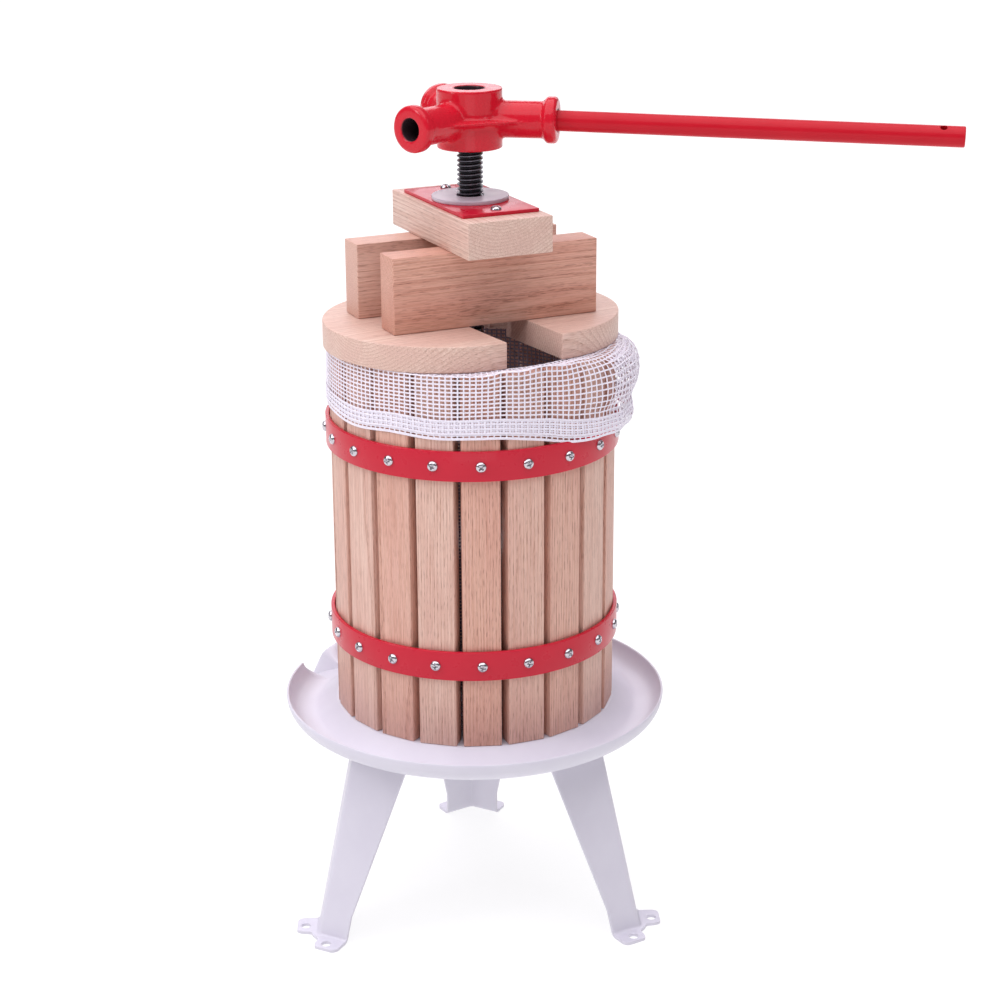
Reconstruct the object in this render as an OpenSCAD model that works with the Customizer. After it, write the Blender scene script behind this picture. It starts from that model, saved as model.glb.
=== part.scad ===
// Hand fruit press with a slatted basket, a steel tray on three legs and a screw spindle.
// Millimetres, +Z up, origin on the floor under the spindle axis, front towards -Y.

/* [Tray] */
// Outer radius of the tray's rim
tray_radius = 193.5; // [185:0.5:230]
// Height of the rim above the floor
tray_height = 234.6; // [180:0.2:320]
// Thickness of the tray's sheet
tray_sheet = 2.5; // [1.5:0.1:4]
// Inner radius of the gutter's curve below the rim
gutter_radius = 19.5; // [14:0.5:24]
// Drop from the rim to the seat that the basket stands on
seat_drop = 4; // [2:0.5:10]
// Margin of the seat outside the staves
seat_margin = 0.5; // [0.5:0.5:3]
// Width of the spout's floor
spout_width = 41; // [20:1:50]
// Outward lean of the spout's sides, degrees
spout_flare = 35; // [0:1:45]
// Downward slope of the spout, degrees
spout_fall = 32; // [10:1:45]
// Length of the spout from its root in the gutter
spout_length = 44; // [36:1:60]
// Height of the spout's sides at the rim
spout_side = 19.4; // [10:0.2:22]
// Radius of the curve in which the sides fall towards the tip
spout_curve = 25; // [10:1:30]
// Direction of the spout about the spindle, degrees
spout_turn = 149; // [135:1:165]

/* [Legs] */
// Radius of the legs' bend line at the floor
leg_foot_radius = 191.5; // [170:0.5:230]
// Inward lean of the bend line, degrees
leg_lean = 13.5; // [8:0.5:16]
// Angle of each flange from the tangent, degrees
leg_flange_angle = 30; // [20:1:40]
// Thickness of the leg's sheet
leg_sheet = 3; // [2:0.25:4]
// Outer radius of the leg's bend
leg_bend = 7; // [5:0.5:10]
// Flange width at the foot
leg_foot_width = 33; // [26:1:45]
// Flange width under the tray
leg_top_width = 69; // [60:1:80]
// Height of the parallel stretch above the foot
leg_parallel = 28; // [10:1:50]
// Length of the foot tabs
foot_tab_length = 22; // [20:0.5:35]
// Corner radius of the tabs
tab_corner = 5; // [2:0.5:7]
// Diameter of the foot holes
foot_hole_d = 10; // [5:0.5:12]
// Distance of a foot hole from its flange
foot_hole_out = 12.5; // [10:0.5:16]
// Length of the tabs that bolt under the tray, round their bolts
top_tab_length = 25; // [22:0.5:30]
// Distance between the two bolts of a leg
leg_bolt_spacing = 36.75; // [30:0.25:44]

/* [Basket] */
// Radius of the basket at the outer faces of the staves
basket_radius = 140; // [130:1:142]
// Number of staves
stave_count = 20; // [18:1:24]
// Length of the staves
stave_length = 373; // [300:1:450]
// Thickness of the staves
stave_thickness = 18.5; // [14:0.5:20]
// Gap between neighbouring staves at their inner faces
stave_gap = 1.5; // [1:0.25:6]
// Eased edge along the staves
stave_ease = 0.8; // [0.4:0.1:2]
// Turn of the first stave from the front, degrees
stave_turn = 1.5; // [0:0.5:17.5]
// Height of the hoops
hoop_height = 29.3; // [20:0.1:40]
// Thickness of the hoops
hoop_sheet = 4; // [2:0.25:6]
// Distance of the hoops from the ends of the staves
hoop_inset = 71; // [62:1:110]
// Shank diameter of the wood screws
wood_screw_d = 4.6; // [3:0.1:6]
// Head diameter of the wood screws
wood_screw_head_d = 10; // [8:0.25:12]
// Head height of the wood screws
wood_screw_head = 3.4; // [2:0.1:4.5]
// Length of the wood screws under the head
wood_screw_length = 15; // [12:0.5:18]

/* [Filter bag] */
// Thickness of the bag's cloth
bag_cloth = 1; // [0.6:0.1:1.4]
// Length of the fold that hangs outside the basket
bag_fold = 60; // [20:1:64]
// Radius of the opening for the spindle in the bag's floor
bag_eye = 32; // [28:1:60]
// Height of the bag's floor above the tray's seat
bag_floor = 7; // [6:0.5:20]

/* [Spindle] */
// Diameter over the spindle's thread
spindle_d = 25; // [22:0.5:27]
// Pitch of the thread
thread_pitch = 4.5; // [3:0.25:6]
// Depth of the thread
thread_depth = 2; // [1:0.25:3]
// Share of the pitch that is flat at the crest, and again at the root
thread_flat = 0.2; // [0.1:0.05:0.4]
// Length of the threaded stretch below the spindle's top
thread_length = 320; // [200:5:400]
// Height that the spindle stands up inside the hub
spindle_in_hub = 39; // [36:0.5:50]
// Width across the flats of the spindle's nuts
spindle_nut_flats = 38; // [34:1:42]
// Height of the spindle's nuts
spindle_nut = 16; // [10:1:20]
// Diameter of the spindle's washers
spindle_washer_d = 52; // [44:1:60]
// Thickness of the spindle's washers
spindle_washer = 4; // [2:0.5:6]
// Stretch of the spindle below its lower nut
spindle_tail = 6; // [2:1:20]
// Diameter of the leg bolts
leg_bolt_d = 8; // [6:0.5:9]
// Head diameter of the leg bolts
leg_bolt_head_d = 14; // [12:0.5:15]
// Head height of the leg bolts
leg_bolt_head = 4; // [3:0.25:5]
// Width across the flats of the leg nuts
leg_nut_flats = 13; // [11:0.5:15]
// Height of the leg nuts
leg_nut = 6.5; // [4:0.5:8]

/* [Pressing boards] */
// Radius of the half discs
disc_radius = 118.5; // [112:0.5:119]
// Thickness of the half discs
disc_thickness = 25; // [18:0.5:35]
// Gap between the half discs as they lie on the rim
disc_gap = 60; // [40:1:64]
// Radius of the spindle notch in each half disc
disc_notch = 16; // [15:0.5:22]
// Turn of the half discs about the spindle, degrees
disc_turn = 28.5; // [20:0.5:40]
// Length of the cross blocks
block_length = 213; // [180:1:230]
// Thickness of the cross blocks
block_width = 32; // [24:0.5:38]
// Height of the cross blocks
block_height = 73; // [50:0.5:90]
// Distance between the middles of the cross blocks
block_pitch = 74; // [66:0.5:90]
// Distance that the front cross block lies further along than the rear one
block_stagger = 7; // [0:0.5:15]
// Turn of the blocks and the board about the spindle, degrees
stack_turn = 22.5; // [15:0.5:35]
// Length of the pressure board
board_length = 184; // [150:1:200]
// Width of the pressure board
board_width = 87; // [80:0.5:100]
// Thickness of the pressure board
board_thickness = 35; // [28:0.5:45]
// Diameter of the spindle holes in the board and the plate
board_hole_d = 30; // [28:0.5:34]
// Length of the pressure plate
plate_length = 143; // [130:1:148]
// Width of the pressure plate
plate_width = 79; // [76:0.5:84]
// Thickness of the pressure plate
plate_sheet = 3.5; // [2.5:0.25:5]
// Distance between the plate's two screws
plate_screw_pitch = 118; // [100:1:124]
// Diameter of the thrust washer
washer_d = 74.5; // [60:0.5:78]
// Thickness of the thrust washer
washer_sheet = 4; // [2:0.25:6]

/* [Hub and handle] */
// Gap between the thrust washer and the hub as shown
hub_lift = 45.5; // [20:0.5:60]
// Diameter of the hub's boss
boss_d = 62.5; // [58:0.5:66]
// Height of the hub's boss
boss_height = 56.4; // [50:0.2:70]
// Height of the arms' axis above the boss's lower face
arm_level = 27.3; // [24:0.1:30]
// Diameter of the hub's arms
arm_d = 35; // [30:0.5:38]
// Distance from the spindle to the end of an arm
arm_reach = 84.6; // [78:0.2:100]
// Diameter of the collars at the arms' ends
collar_d = 44; // [40:0.5:48]
// Width of the collars
collar_width = 11.5; // [8:0.5:16]
// Rounding of the collars' edges
collar_round = 3.5; // [1:0.25:4]
// Thickness of the web between the arms
web_thickness = 12; // [6:0.5:16]
// Distance along an arm that the web reaches
web_reach = 55; // [45:1:62]
// Depth of the sockets from the arms' ends
socket_depth = 48; // [40:1:52]
// Diameter of the handle bar
bar_d = 19.5; // [16:0.25:20]
// Distance from the spindle to the bar's free end
bar_reach = 462; // [350:1:600]
// Diameter of the eye near the bar's end
bar_eye_d = 7; // [3:0.5:8]
// Distance of the eye from the bar's end
bar_eye_inset = 20; // [10:1:40]
// Turn of the eye about the bar's axis, degrees
bar_eye_turn = 25; // [0:1:90]
// Droop of the bar in its socket, degrees
bar_droop = 1; // [0:0.1:1]
// Direction of the handle bar about the spindle, degrees
handle_turn = -12; // [-40:0.5:20]
// Diameter of the opening in the boss's top
hub_eye_d = 29; // [28:0.5:32]
// Outer diameter of the threaded bush in the hub
bush_d = 40; // [36:0.5:42]
// Length of the threaded bush
bush_length = 30; // [24:0.5:34]

/* [Fits] */
// Gap between pieces that rest on each other or slide past each other
rest_gap = 0.3; // [0.2:0.05:0.5]
// Radial clearance of a running fit
run_gap = 0.05; // [0.02:0.01:0.1]
// Radial clearance of the bar in its socket
socket_gap = 0.55; // [0.45:0.05:0.8]
// Radial clearance of bolts in their holes
bolt_gap = 0.25; // [0.1:0.05:0.5]

/* [Hidden] */
$fn = 96;
leg_turns = [90, 210, 330];
leg_names = ["leg_rear", "leg_front_left", "leg_front_right"];

// The basket's staves, round the spindle
stave_step = 360 / stave_count;
stave_inner = basket_radius - stave_thickness;
stave_width = 2 * stave_inner * tan(stave_step / 2) - stave_gap;
stave_corner = norm([basket_radius, stave_width / 2 - stave_ease]);
hoop_inner = stave_corner + run_gap;
hoop_outer = hoop_inner + hoop_sheet;

// Heights from the floor up to the hub
seat_z = tray_height - seat_drop;
stave_z = seat_z + rest_gap;
stave_top = stave_z + stave_length;
hoop_z = [stave_z + hoop_inset, stave_top - hoop_inset - hoop_height];
bag_top = stave_top + rest_gap + bag_cloth;
disc_z = bag_top + rest_gap;
block_z = disc_z + disc_thickness + rest_gap;
board_z = block_z + block_height + rest_gap;
plate_z = board_z + board_thickness;
washer_z = plate_z + plate_sheet;
hub_z = washer_z + washer_sheet + hub_lift;
arm_z = hub_z + arm_level;
spindle_top = hub_z + spindle_in_hub;

// The tray's gutter: a cone from the seat's edge, tangent to the curve below the rim
gutter_middle = tray_radius - tray_sheet - gutter_radius;
seat_radius = stave_corner + seat_margin;
seat_to_middle = [gutter_middle - seat_radius, seat_drop];
gutter_slope = atan2(seat_to_middle[0], seat_to_middle[1])
    - acos(min(1, gutter_radius / norm(seat_to_middle)));
seat_under = seat_z - tray_sheet;
spindle_hole_r = spindle_d / 2 + bolt_gap;

// The legs' bend line and the tabs under the tray
leg_top = seat_under;
leg_top_radius = leg_foot_radius - leg_top * tan(leg_lean);
foot_tab_start = leg_sheet + tab_corner / 2;
// A leg bolt sits in the middle of its tab, or further in where the basket would stand on its head
leg_bolt_side = leg_bolt_spacing / 2;
leg_bolt_circle = stave_inner - rest_gap - bag_cloth - leg_bolt_head_d / 2;
leg_bolt_clear = leg_top_radius - leg_bolt_side * tan(leg_flange_angle)
    - sqrt(leg_bolt_circle ^ 2 - leg_bolt_side ^ 2);
leg_bolt_in = max(top_tab_length / 2, leg_bolt_clear * cos(leg_flange_angle));
leg_bolt_along = (leg_bolt_side + leg_bolt_in * sin(leg_flange_angle)) / cos(leg_flange_angle);
leg_bolt_tail = 3;
top_tab_start = leg_bolt_along - leg_bolt_head_d;
top_tab_end = leg_bolt_along + leg_bolt_head_d;
top_tab_reach = leg_bolt_in + top_tab_length / 2;

// The spindle's clamp below the seat
spindle_bottom = seat_under - spindle_washer - spindle_nut - spindle_tail;

// The hub's sockets and bush
bush_z = hub_z + rest_gap;
bush_top = bush_z + bush_length;
socket_r = bar_d / 2 + socket_gap;
arm_step = 120;
bar_start = arm_reach - socket_depth + rest_gap;

oak = "burlywood";
red_enamel = "crimson";
white_coat = "whitesmoke";
zinc = "silver";
black_steel = "dimgray";

function stave_name(i) = str("stave_", i < 10 ? "0" : "", i);

// Points of an arc about a middle, from one angle to another
function arc(middle, r, from, to, steps = 16) =
    [for (k = [0:steps]) let (a = from + (to - from) * k / steps) middle + r * [cos(a), sin(a)]];

// Tray

// Upper surface of the tray from the seat's edge to the rim, as radius and height
function tray_upper() = concat(
    [[seat_radius, seat_z]],
    arc([gutter_middle, tray_height], gutter_radius, -90 - gutter_slope, 0));

// Lower surface of the tray from the rim back to the seat's edge
function tray_lower() = concat(
    arc([gutter_middle, tray_height], gutter_radius + tray_sheet, 0, -90 - gutter_slope),
    [[seat_radius - tray_sheet * tan(gutter_slope / 2), seat_under]]);

module tray_shell() {
    rotate_extrude()
        polygon(concat([[spindle_hole_r, seat_z]], tray_upper(), tray_lower(), [[spindle_hole_r, seat_under]]));
}

module tray_room() {
    room_top = tray_height + tray_radius;
    rotate_extrude()
        polygon(concat([[0, seat_z]], tray_upper(), [[tray_radius - tray_sheet, room_top], [0, room_top]]));
}

// Places a child on the spout: X along its floor from the root, Z up from the floor
module on_spout() {
    root_out = gutter_radius / 3;
    root_z = tray_height - sqrt(gutter_radius ^ 2 - root_out ^ 2);
    rotate([0, 0, spout_turn])
        translate([gutter_middle + root_out, 0, root_z])
            rotate([0, spout_fall, 0])
                children();
}

// A prism along the spout with a flat floor and leaning sides
module spout_prism(start, end, below, above, wall) {
    half = spout_width / 2 + wall;
    translate([start, 0, 0])
        rotate([90, 0, 90])
            linear_extrude(end - start)
                polygon([
                    [-half + below * tan(spout_flare), -below],
                    [half - below * tan(spout_flare), -below],
                    [half + above * tan(spout_flare), above],
                    [-half - above * tan(spout_flare), above]]);
}

// The spout seen from the side: a level edge, then a curve and a slope at 45 degrees down to the tip
module spout_outline() {
    curve_start = spout_length - spout_side - spout_curve * (sqrt(2) - 1);
    rotate([90, 0, 0])
        linear_extrude(2 * tray_radius, center = true)
            polygon(concat(
                [[-gutter_radius, -2 * tray_sheet], [-gutter_radius, spout_side]],
                arc([curve_start, spout_side - spout_curve], spout_curve, 90, 45, 8),
                [[spout_length, 0], [spout_length, -2 * tray_sheet]]));
}

module drip_tray() {
    color(white_coat)
        difference() {
            union() {
                tray_shell();
                difference() {
                    on_spout()
                        intersection() {
                            spout_prism(0, spout_length, tray_sheet, spout_side, tray_sheet / cos(spout_flare));
                            spout_outline();
                        }
                    tray_room();
                }
            }
            on_spout()
                spout_prism(-gutter_radius / 3, 2 * spout_length, 0, 3 * gutter_radius, 0);
            at_leg_bolts() cylinder(d = leg_bolt_d + 2 * bolt_gap, h = 4 * tray_sheet, center = true);
        }
}

// Legs, built with the bend line over +X

module leg_section() {
    long = 2 * leg_top_width;
    bend_middle = [-leg_bend / cos(leg_flange_angle), 0];
    // A point along one flange, at a depth below its outer face
    function flange(side, along, depth) =
        [-along * sin(leg_flange_angle) - depth * cos(leg_flange_angle),
         side * (along * cos(leg_flange_angle) - depth * sin(leg_flange_angle))];
    polygon(concat(
        [flange(-1, long, leg_sheet), flange(-1, long, 0)],
        arc(bend_middle, leg_bend, -leg_flange_angle, leg_flange_angle, 8),
        [flange(1, long, 0), flange(1, long, leg_sheet)],
        arc(bend_middle, leg_bend - leg_sheet, leg_flange_angle, -leg_flange_angle, 8)));
}

module leg_outline() {
    foot = leg_foot_width * cos(leg_flange_angle);
    top = leg_top_width * cos(leg_flange_angle);
    rotate([90, 0, 90])
        linear_extrude(2 * leg_foot_radius)
            polygon([
                [-foot, 0], [foot, 0], [foot, leg_parallel], [top, leg_top],
                [-top, leg_top], [-foot, leg_parallel]]);
}

// Places a child at a flange's foot line: X out of the flange, Y along it from the bend
module at_flange(side, bend_radius) {
    mirror([0, side < 0 ? 1 : 0, 0])
        translate([bend_radius, 0, 0])
            rotate([0, 0, leg_flange_angle])
                children();
}

// A flat tab from inside the flange outwards, with two round corners at its free end
module tab(start, end, length) {
    reach = length - tab_corner;
    linear_extrude(leg_sheet)
        polygon(concat(
            [[-leg_sheet, start], [reach, start]],
            arc([reach, start + tab_corner], tab_corner, -90, 0, 6),
            arc([reach, end - tab_corner], tab_corner, 0, 90, 6),
            [[-leg_sheet, end]]));
}

module leg(turn) {
    color(white_coat)
        rotate([0, 0, turn])
            difference() {
                union() {
                    intersection() {
                        leg_outline();
                        translate([leg_foot_radius, 0, 0])
                            rotate([0, -leg_lean, 0])
                                translate([0, 0, -leg_top_width])
                                    linear_extrude(2 * leg_top)
                                        leg_section();
                    }
                    for (side = [-1, 1]) {
                        at_flange(side, leg_foot_radius)
                            tab(foot_tab_start, leg_foot_width - leg_sheet / 2, foot_tab_length);
                        translate([0, 0, leg_top - leg_sheet])
                            at_flange(side, leg_top_radius)
                                mirror([1, 0, 0])
                                    tab(top_tab_start, top_tab_end, top_tab_reach);
                    }
                }
                for (side = [-1, 1]) {
                    at_flange(side, leg_foot_radius)
                        translate([foot_hole_out, leg_foot_width / 2 + leg_sheet / 2, 0])
                            cylinder(d = foot_hole_d, h = 3 * leg_sheet, center = true);
                    translate([0, 0, leg_top])
                        at_leg_bolt(side)
                            cylinder(d = leg_bolt_d + 2 * bolt_gap, h = 4 * leg_sheet, center = true);
                }
            }
}

module at_leg_bolt(side) {
    at_flange(side, leg_top_radius)
        translate([-leg_bolt_in, leg_bolt_along, 0])
            children();
}

// Places a child on the seat's upper face at each leg bolt
module at_leg_bolts() {
    for (turn = leg_turns, side = [-1, 1])
        rotate([0, 0, turn])
            translate([0, 0, seat_z])
                at_leg_bolt(side) children();
}

// A pin along Z with a low round head above Z = 0: a ball's cap of the head's diameter and height
module headed_pin(head_d, head_h, pin_d, length) {
    ball = (head_d ^ 2 / 4 + head_h ^ 2) / (2 * head_h);
    rotate_extrude()
        polygon(concat(
            [[0, -length], [pin_d / 2, -length], [pin_d / 2, 0]],
            arc([0, head_h - ball], ball, atan2(ball - head_h, head_d / 2), 90, 8)));
}

module leg_bolts() {
    grip = tray_sheet + leg_sheet + leg_nut + leg_bolt_tail;
    color(zinc) at_leg_bolts() headed_pin(leg_bolt_head_d, leg_bolt_head, leg_bolt_d, grip);
}

module hex_nut(flats, h, bore) {
    difference() {
        cylinder(d = flats / cos(30), h = h, $fn = 6);
        cylinder(d = bore, h = 3 * h, center = true);
    }
}

module leg_nuts() {
    color(zinc)
        at_leg_bolts()
            translate([0, 0, -tray_sheet - leg_sheet - leg_nut])
                hex_nut(leg_nut_flats, leg_nut, leg_bolt_d + 2 * run_gap);
}

// Spindle

module spindle() {
    crest = spindle_d / 2;
    root = crest - thread_depth;
    grooves = floor(thread_length / thread_pitch);
    thread_start = spindle_top - grooves * thread_pitch;
    // One groove as radius and share of the pitch, from half a crest to half a crest
    half_flat = thread_flat / 2;
    groove = [[crest, half_flat], [root, 0.5 - half_flat], [root, 0.5 + half_flat], [crest, 1 - half_flat]];
    color(black_steel)
        rotate_extrude()
            polygon(concat(
                [[0, spindle_bottom], [crest, spindle_bottom]],
                [for (k = [0:grooves - 1], p = groove) [p[0], thread_start + (k + p[1]) * thread_pitch]],
                [[crest, spindle_top], [0, spindle_top]]));
}

module spindle_nuts() {
    bore = spindle_d + 2 * run_gap;
    color(zinc) {
        translate([0, 0, seat_z + spindle_washer]) hex_nut(spindle_nut_flats, spindle_nut, bore);
        translate([0, 0, seat_under - spindle_washer - spindle_nut])
            hex_nut(spindle_nut_flats, spindle_nut, bore);
    }
}

module ring(outer_d, inner_d, h) {
    difference() {
        cylinder(d = outer_d, h = h);
        cylinder(d = inner_d, h = 3 * h, center = true);
    }
}

module spindle_washers() {
    color(zinc)
        for (z = [seat_z, seat_under - spindle_washer])
            translate([0, 0, z]) ring(spindle_washer_d, 2 * spindle_hole_r, spindle_washer);
}

// Basket

module at_stave(i) {
    rotate([0, 0, stave_turn - 90 + (i - 1) * stave_step]) children();
}

// Places a child on the screw axis of stave i at a hoop, with +Z outwards
module at_hoop_screw(i, r, z) {
    at_stave(i) translate([r, 0, z + hoop_height / 2]) rotate([0, 90, 0]) children();
}

module stave(i) {
    half = stave_width / 2;
    ease = stave_ease;
    color(oak)
        difference() {
            at_stave(i)
                translate([0, 0, stave_z])
                    linear_extrude(stave_length)
                        polygon([
                            [stave_inner, -half + ease], [stave_inner + ease, -half],
                            [basket_radius - ease, -half], [basket_radius, -half + ease],
                            [basket_radius, half - ease], [basket_radius - ease, half],
                            [stave_inner + ease, half], [stave_inner, half - ease]]);
            for (z = hoop_z)
                at_hoop_screw(i, hoop_outer - wood_screw_length - rest_gap, z)
                    cylinder(d = wood_screw_d + 2 * run_gap, h = wood_screw_length);
        }
}

module hoop(z) {
    color(red_enamel)
        difference() {
            translate([0, 0, z]) ring(2 * hoop_outer, 2 * hoop_inner, hoop_height);
            for (i = [1:stave_count])
                at_hoop_screw(i, hoop_inner, z)
                    cylinder(d = wood_screw_d + 2 * bolt_gap, h = 4 * hoop_sheet, center = true);
        }
}

module wood_screw() {
    headed_pin(wood_screw_head_d, wood_screw_head, wood_screw_d, wood_screw_length);
}

module hoop_screws(z) {
    color(zinc)
        for (i = [1:stave_count])
            at_hoop_screw(i, hoop_outer, z) wood_screw();
}

module filter_bag() {
    lining = stave_inner - rest_gap;
    fold = stave_corner + rest_gap;
    floor_z = seat_z + bag_floor;
    rim_z = stave_top + rest_gap;
    color("white")
        rotate_extrude()
            polygon([
                [bag_eye, floor_z], [bag_eye, floor_z + bag_cloth],
                [lining - bag_cloth, floor_z + bag_cloth], [lining - bag_cloth, bag_top],
                [fold + bag_cloth, bag_top], [fold + bag_cloth, bag_top - bag_fold],
                [fold, bag_top - bag_fold], [fold, rim_z],
                [lining, rim_z], [lining, floor_z]]);
}

// Pressing boards

// Half a disc on the +X side, its straight edge half the gap from the spindle
module half_disc() {
    translate([disc_gap / 2, 0, disc_z])
        difference() {
            cylinder(r = disc_radius, h = disc_thickness);
            translate([-2 * disc_radius, -2 * disc_radius, -disc_thickness])
                cube([2 * disc_radius, 4 * disc_radius, 3 * disc_thickness]);
            cylinder(r = disc_notch, h = 4 * disc_thickness, center = true);
        }
}

module press_disc(turn) {
    color(oak) rotate([0, 0, turn]) half_disc();
}

module press_block(side) {
    color(oak)
        rotate([0, 0, stack_turn])
            translate([
                -(block_length + side * block_stagger) / 2,
                side * block_pitch / 2 - block_width / 2,
                block_z])
                cube([block_length, block_width, block_height]);
}

// Places a child at each of the plate's screws, on the plate's upper face
module at_plate_screws() {
    for (side = [-1, 1])
        rotate([0, 0, stack_turn])
            translate([0, side * plate_screw_pitch / 2, washer_z])
                children();
}

module pressure_board() {
    color(oak)
        difference() {
            rotate([0, 0, stack_turn])
                translate([-board_width / 2, -board_length / 2, board_z])
                    cube([board_width, board_length, board_thickness]);
            translate([0, 0, board_z]) cylinder(d = board_hole_d, h = 3 * board_thickness, center = true);
            at_plate_screws()
                translate([0, 0, -wood_screw_length - rest_gap])
                    cylinder(d = wood_screw_d + 2 * run_gap, h = wood_screw_length);
        }
}

module pressure_plate() {
    color(red_enamel)
        difference() {
            rotate([0, 0, stack_turn])
                translate([-plate_width / 2, -plate_length / 2, plate_z])
                    cube([plate_width, plate_length, plate_sheet]);
            translate([0, 0, plate_z]) cylinder(d = board_hole_d, h = 3 * plate_sheet, center = true);
            at_plate_screws() cylinder(d = wood_screw_d + 2 * bolt_gap, h = 4 * plate_sheet, center = true);
        }
}

module plate_screws() {
    color(zinc) at_plate_screws() wood_screw();
}

module thrust_washer() {
    color("lavender")
        translate([0, 0, washer_z])
            ring(washer_d, spindle_d + 4 * rest_gap, washer_sheet);
}

// Hub and handle

module nut_bush() {
    color("goldenrod")
        translate([0, 0, bush_z])
            ring(bush_d, spindle_d + 2 * run_gap, bush_length);
}

// Places a child at the middle of the hub for arm k, with +Z along the arm
module at_arm(k) {
    translate([0, 0, arm_z])
        rotate([0, 0, handle_turn + k * arm_step])
            rotate([0, 90, 0])
                children();
}

module arm_solid() {
    collar_r = collar_d / 2;
    collar_start = arm_reach - collar_width;
    rotate_extrude()
        polygon(concat(
            [[0, 0], [arm_d / 2, 0], [arm_d / 2, collar_start]],
            arc([collar_r - collar_round, collar_start + collar_round], collar_round, -90, 0, 6),
            arc([collar_r - collar_round, arm_reach - collar_round], collar_round, 0, 90, 6),
            [[0, arm_reach]]));
}

// A flat web from arm to arm, whose ends lie inside the arms
module hub_web() {
    half = arm_d / 2 - web_thickness / 4;
    translate([0, 0, arm_z - web_thickness / 2])
        rotate([0, 0, handle_turn])
            linear_extrude(web_thickness)
                polygon([for (k = [0:2], side = [-1, 1])
                    [web_reach * cos(k * arm_step) - side * half * sin(k * arm_step),
                     web_reach * sin(k * arm_step) + side * half * cos(k * arm_step)]]);
}

module hub() {
    color(red_enamel)
        difference() {
            union() {
                translate([0, 0, hub_z]) cylinder(d = boss_d, h = boss_height);
                for (k = [0:2]) at_arm(k) arm_solid();
                hub_web();
            }
            translate([0, 0, hub_z]) cylinder(d = hub_eye_d, h = 3 * boss_height, center = true);
            translate([0, 0, hub_z - rest_gap])
                cylinder(d = bush_d + 2 * run_gap, h = bush_length + 3 * rest_gap);
            for (k = [0:2])
                at_arm(k)
                    translate([0, 0, arm_reach - socket_depth])
                        cylinder(r = socket_r, h = 2 * socket_depth);
        }
}

// Places a child on the bar, which droops about the middle of its socket: Z outwards along the bar
module on_bar() {
    pivot = arm_reach - socket_depth / 2;
    at_arm(0)
        translate([0, 0, pivot])
            rotate([0, bar_droop, 0])
                translate([0, 0, -pivot])
                    children();
}

module handle_bar() {
    color(red_enamel)
        on_bar()
            difference() {
                translate([0, 0, bar_start]) cylinder(d = bar_d, h = bar_reach - bar_start);
                translate([0, 0, bar_reach - bar_eye_inset])
                    rotate([0, 0, bar_eye_turn])
                        rotate([0, 90, 0])
                            cylinder(d = bar_eye_d, h = 2 * bar_d, center = true);
            }
}

for (k = [0:len(leg_names) - 1])
    leg(leg_turns[k]);
drip_tray();
leg_bolts();
leg_nuts();
spindle();
spindle_nuts();
spindle_washers();
for (i = [1:stave_count])
    stave(i);
hoop(hoop_z[1]);  // hoop_upper
hoop(hoop_z[0]);  // hoop_lower
hoop_screws(hoop_z[1]);  // hoop_upper_screws
hoop_screws(hoop_z[0]);  // hoop_lower_screws
filter_bag();
press_disc(disc_turn + 180);  // press_disc_left
press_disc(disc_turn);  // press_disc_right
press_block(-1);  // press_block_front
press_block(1);  // press_block_rear
pressure_board();
pressure_plate();
plate_screws();
thrust_washer();
nut_bush();
hub();
handle_bar();
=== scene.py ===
"""Looks of a hand fruit press: oak basket, net bag, red cast hub and a white tray on three legs.

Sizes are in millimetres in the frame's own axes: +Z up, the spindle on the Z axis, front towards -Y.
They turn to metres where a mesh is made.
"""
from __future__ import annotations

import logging
import math
from collections.abc import Callable
from dataclasses import dataclass
from enum import Enum

import bmesh
import bpy
import numpy as np
from mathutils import Matrix, Vector

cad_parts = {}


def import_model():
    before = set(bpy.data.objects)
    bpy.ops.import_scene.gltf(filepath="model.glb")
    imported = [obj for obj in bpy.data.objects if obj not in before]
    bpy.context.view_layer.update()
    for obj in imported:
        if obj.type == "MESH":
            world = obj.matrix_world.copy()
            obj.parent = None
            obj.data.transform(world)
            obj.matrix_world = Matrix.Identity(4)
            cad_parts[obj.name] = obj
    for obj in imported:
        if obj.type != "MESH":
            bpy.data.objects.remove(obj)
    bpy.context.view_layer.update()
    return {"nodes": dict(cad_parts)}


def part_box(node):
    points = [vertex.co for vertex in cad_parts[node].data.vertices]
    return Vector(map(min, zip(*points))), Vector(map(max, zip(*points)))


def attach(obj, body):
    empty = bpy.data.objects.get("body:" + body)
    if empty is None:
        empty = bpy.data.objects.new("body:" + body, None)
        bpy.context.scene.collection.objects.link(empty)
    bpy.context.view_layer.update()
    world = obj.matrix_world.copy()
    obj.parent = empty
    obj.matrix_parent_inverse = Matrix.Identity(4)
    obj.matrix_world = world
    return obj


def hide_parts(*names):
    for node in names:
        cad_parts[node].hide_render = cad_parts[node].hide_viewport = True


LOG = logging.getLogger("fruit_press")
MM = 0.001
UP = np.array([0.0, 0.0, 1.0])
Array = np.ndarray


class Body(str, Enum):
    """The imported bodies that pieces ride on."""

    FRAME = "frame"
    BASKET = "basket"
    DISC_LEFT = "disc_left"
    DISC_RIGHT = "disc_right"
    BLOCK_FRONT = "block_front"
    BLOCK_REAR = "block_rear"
    BOARD = "board"
    BUSH = "bush"
    HUB = "hub"
    BAR = "bar"


class Slot(str, Enum):
    """The record's material slots."""

    WHITE_COAT = "white_coat"
    RED_ENAMEL = "red_enamel"
    OAK = "oak"
    ZINC = "zinc"
    BLACK_STEEL = "black_steel"
    NYLON = "nylon"
    NET = "net"
    BRASS = "brass"


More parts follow.
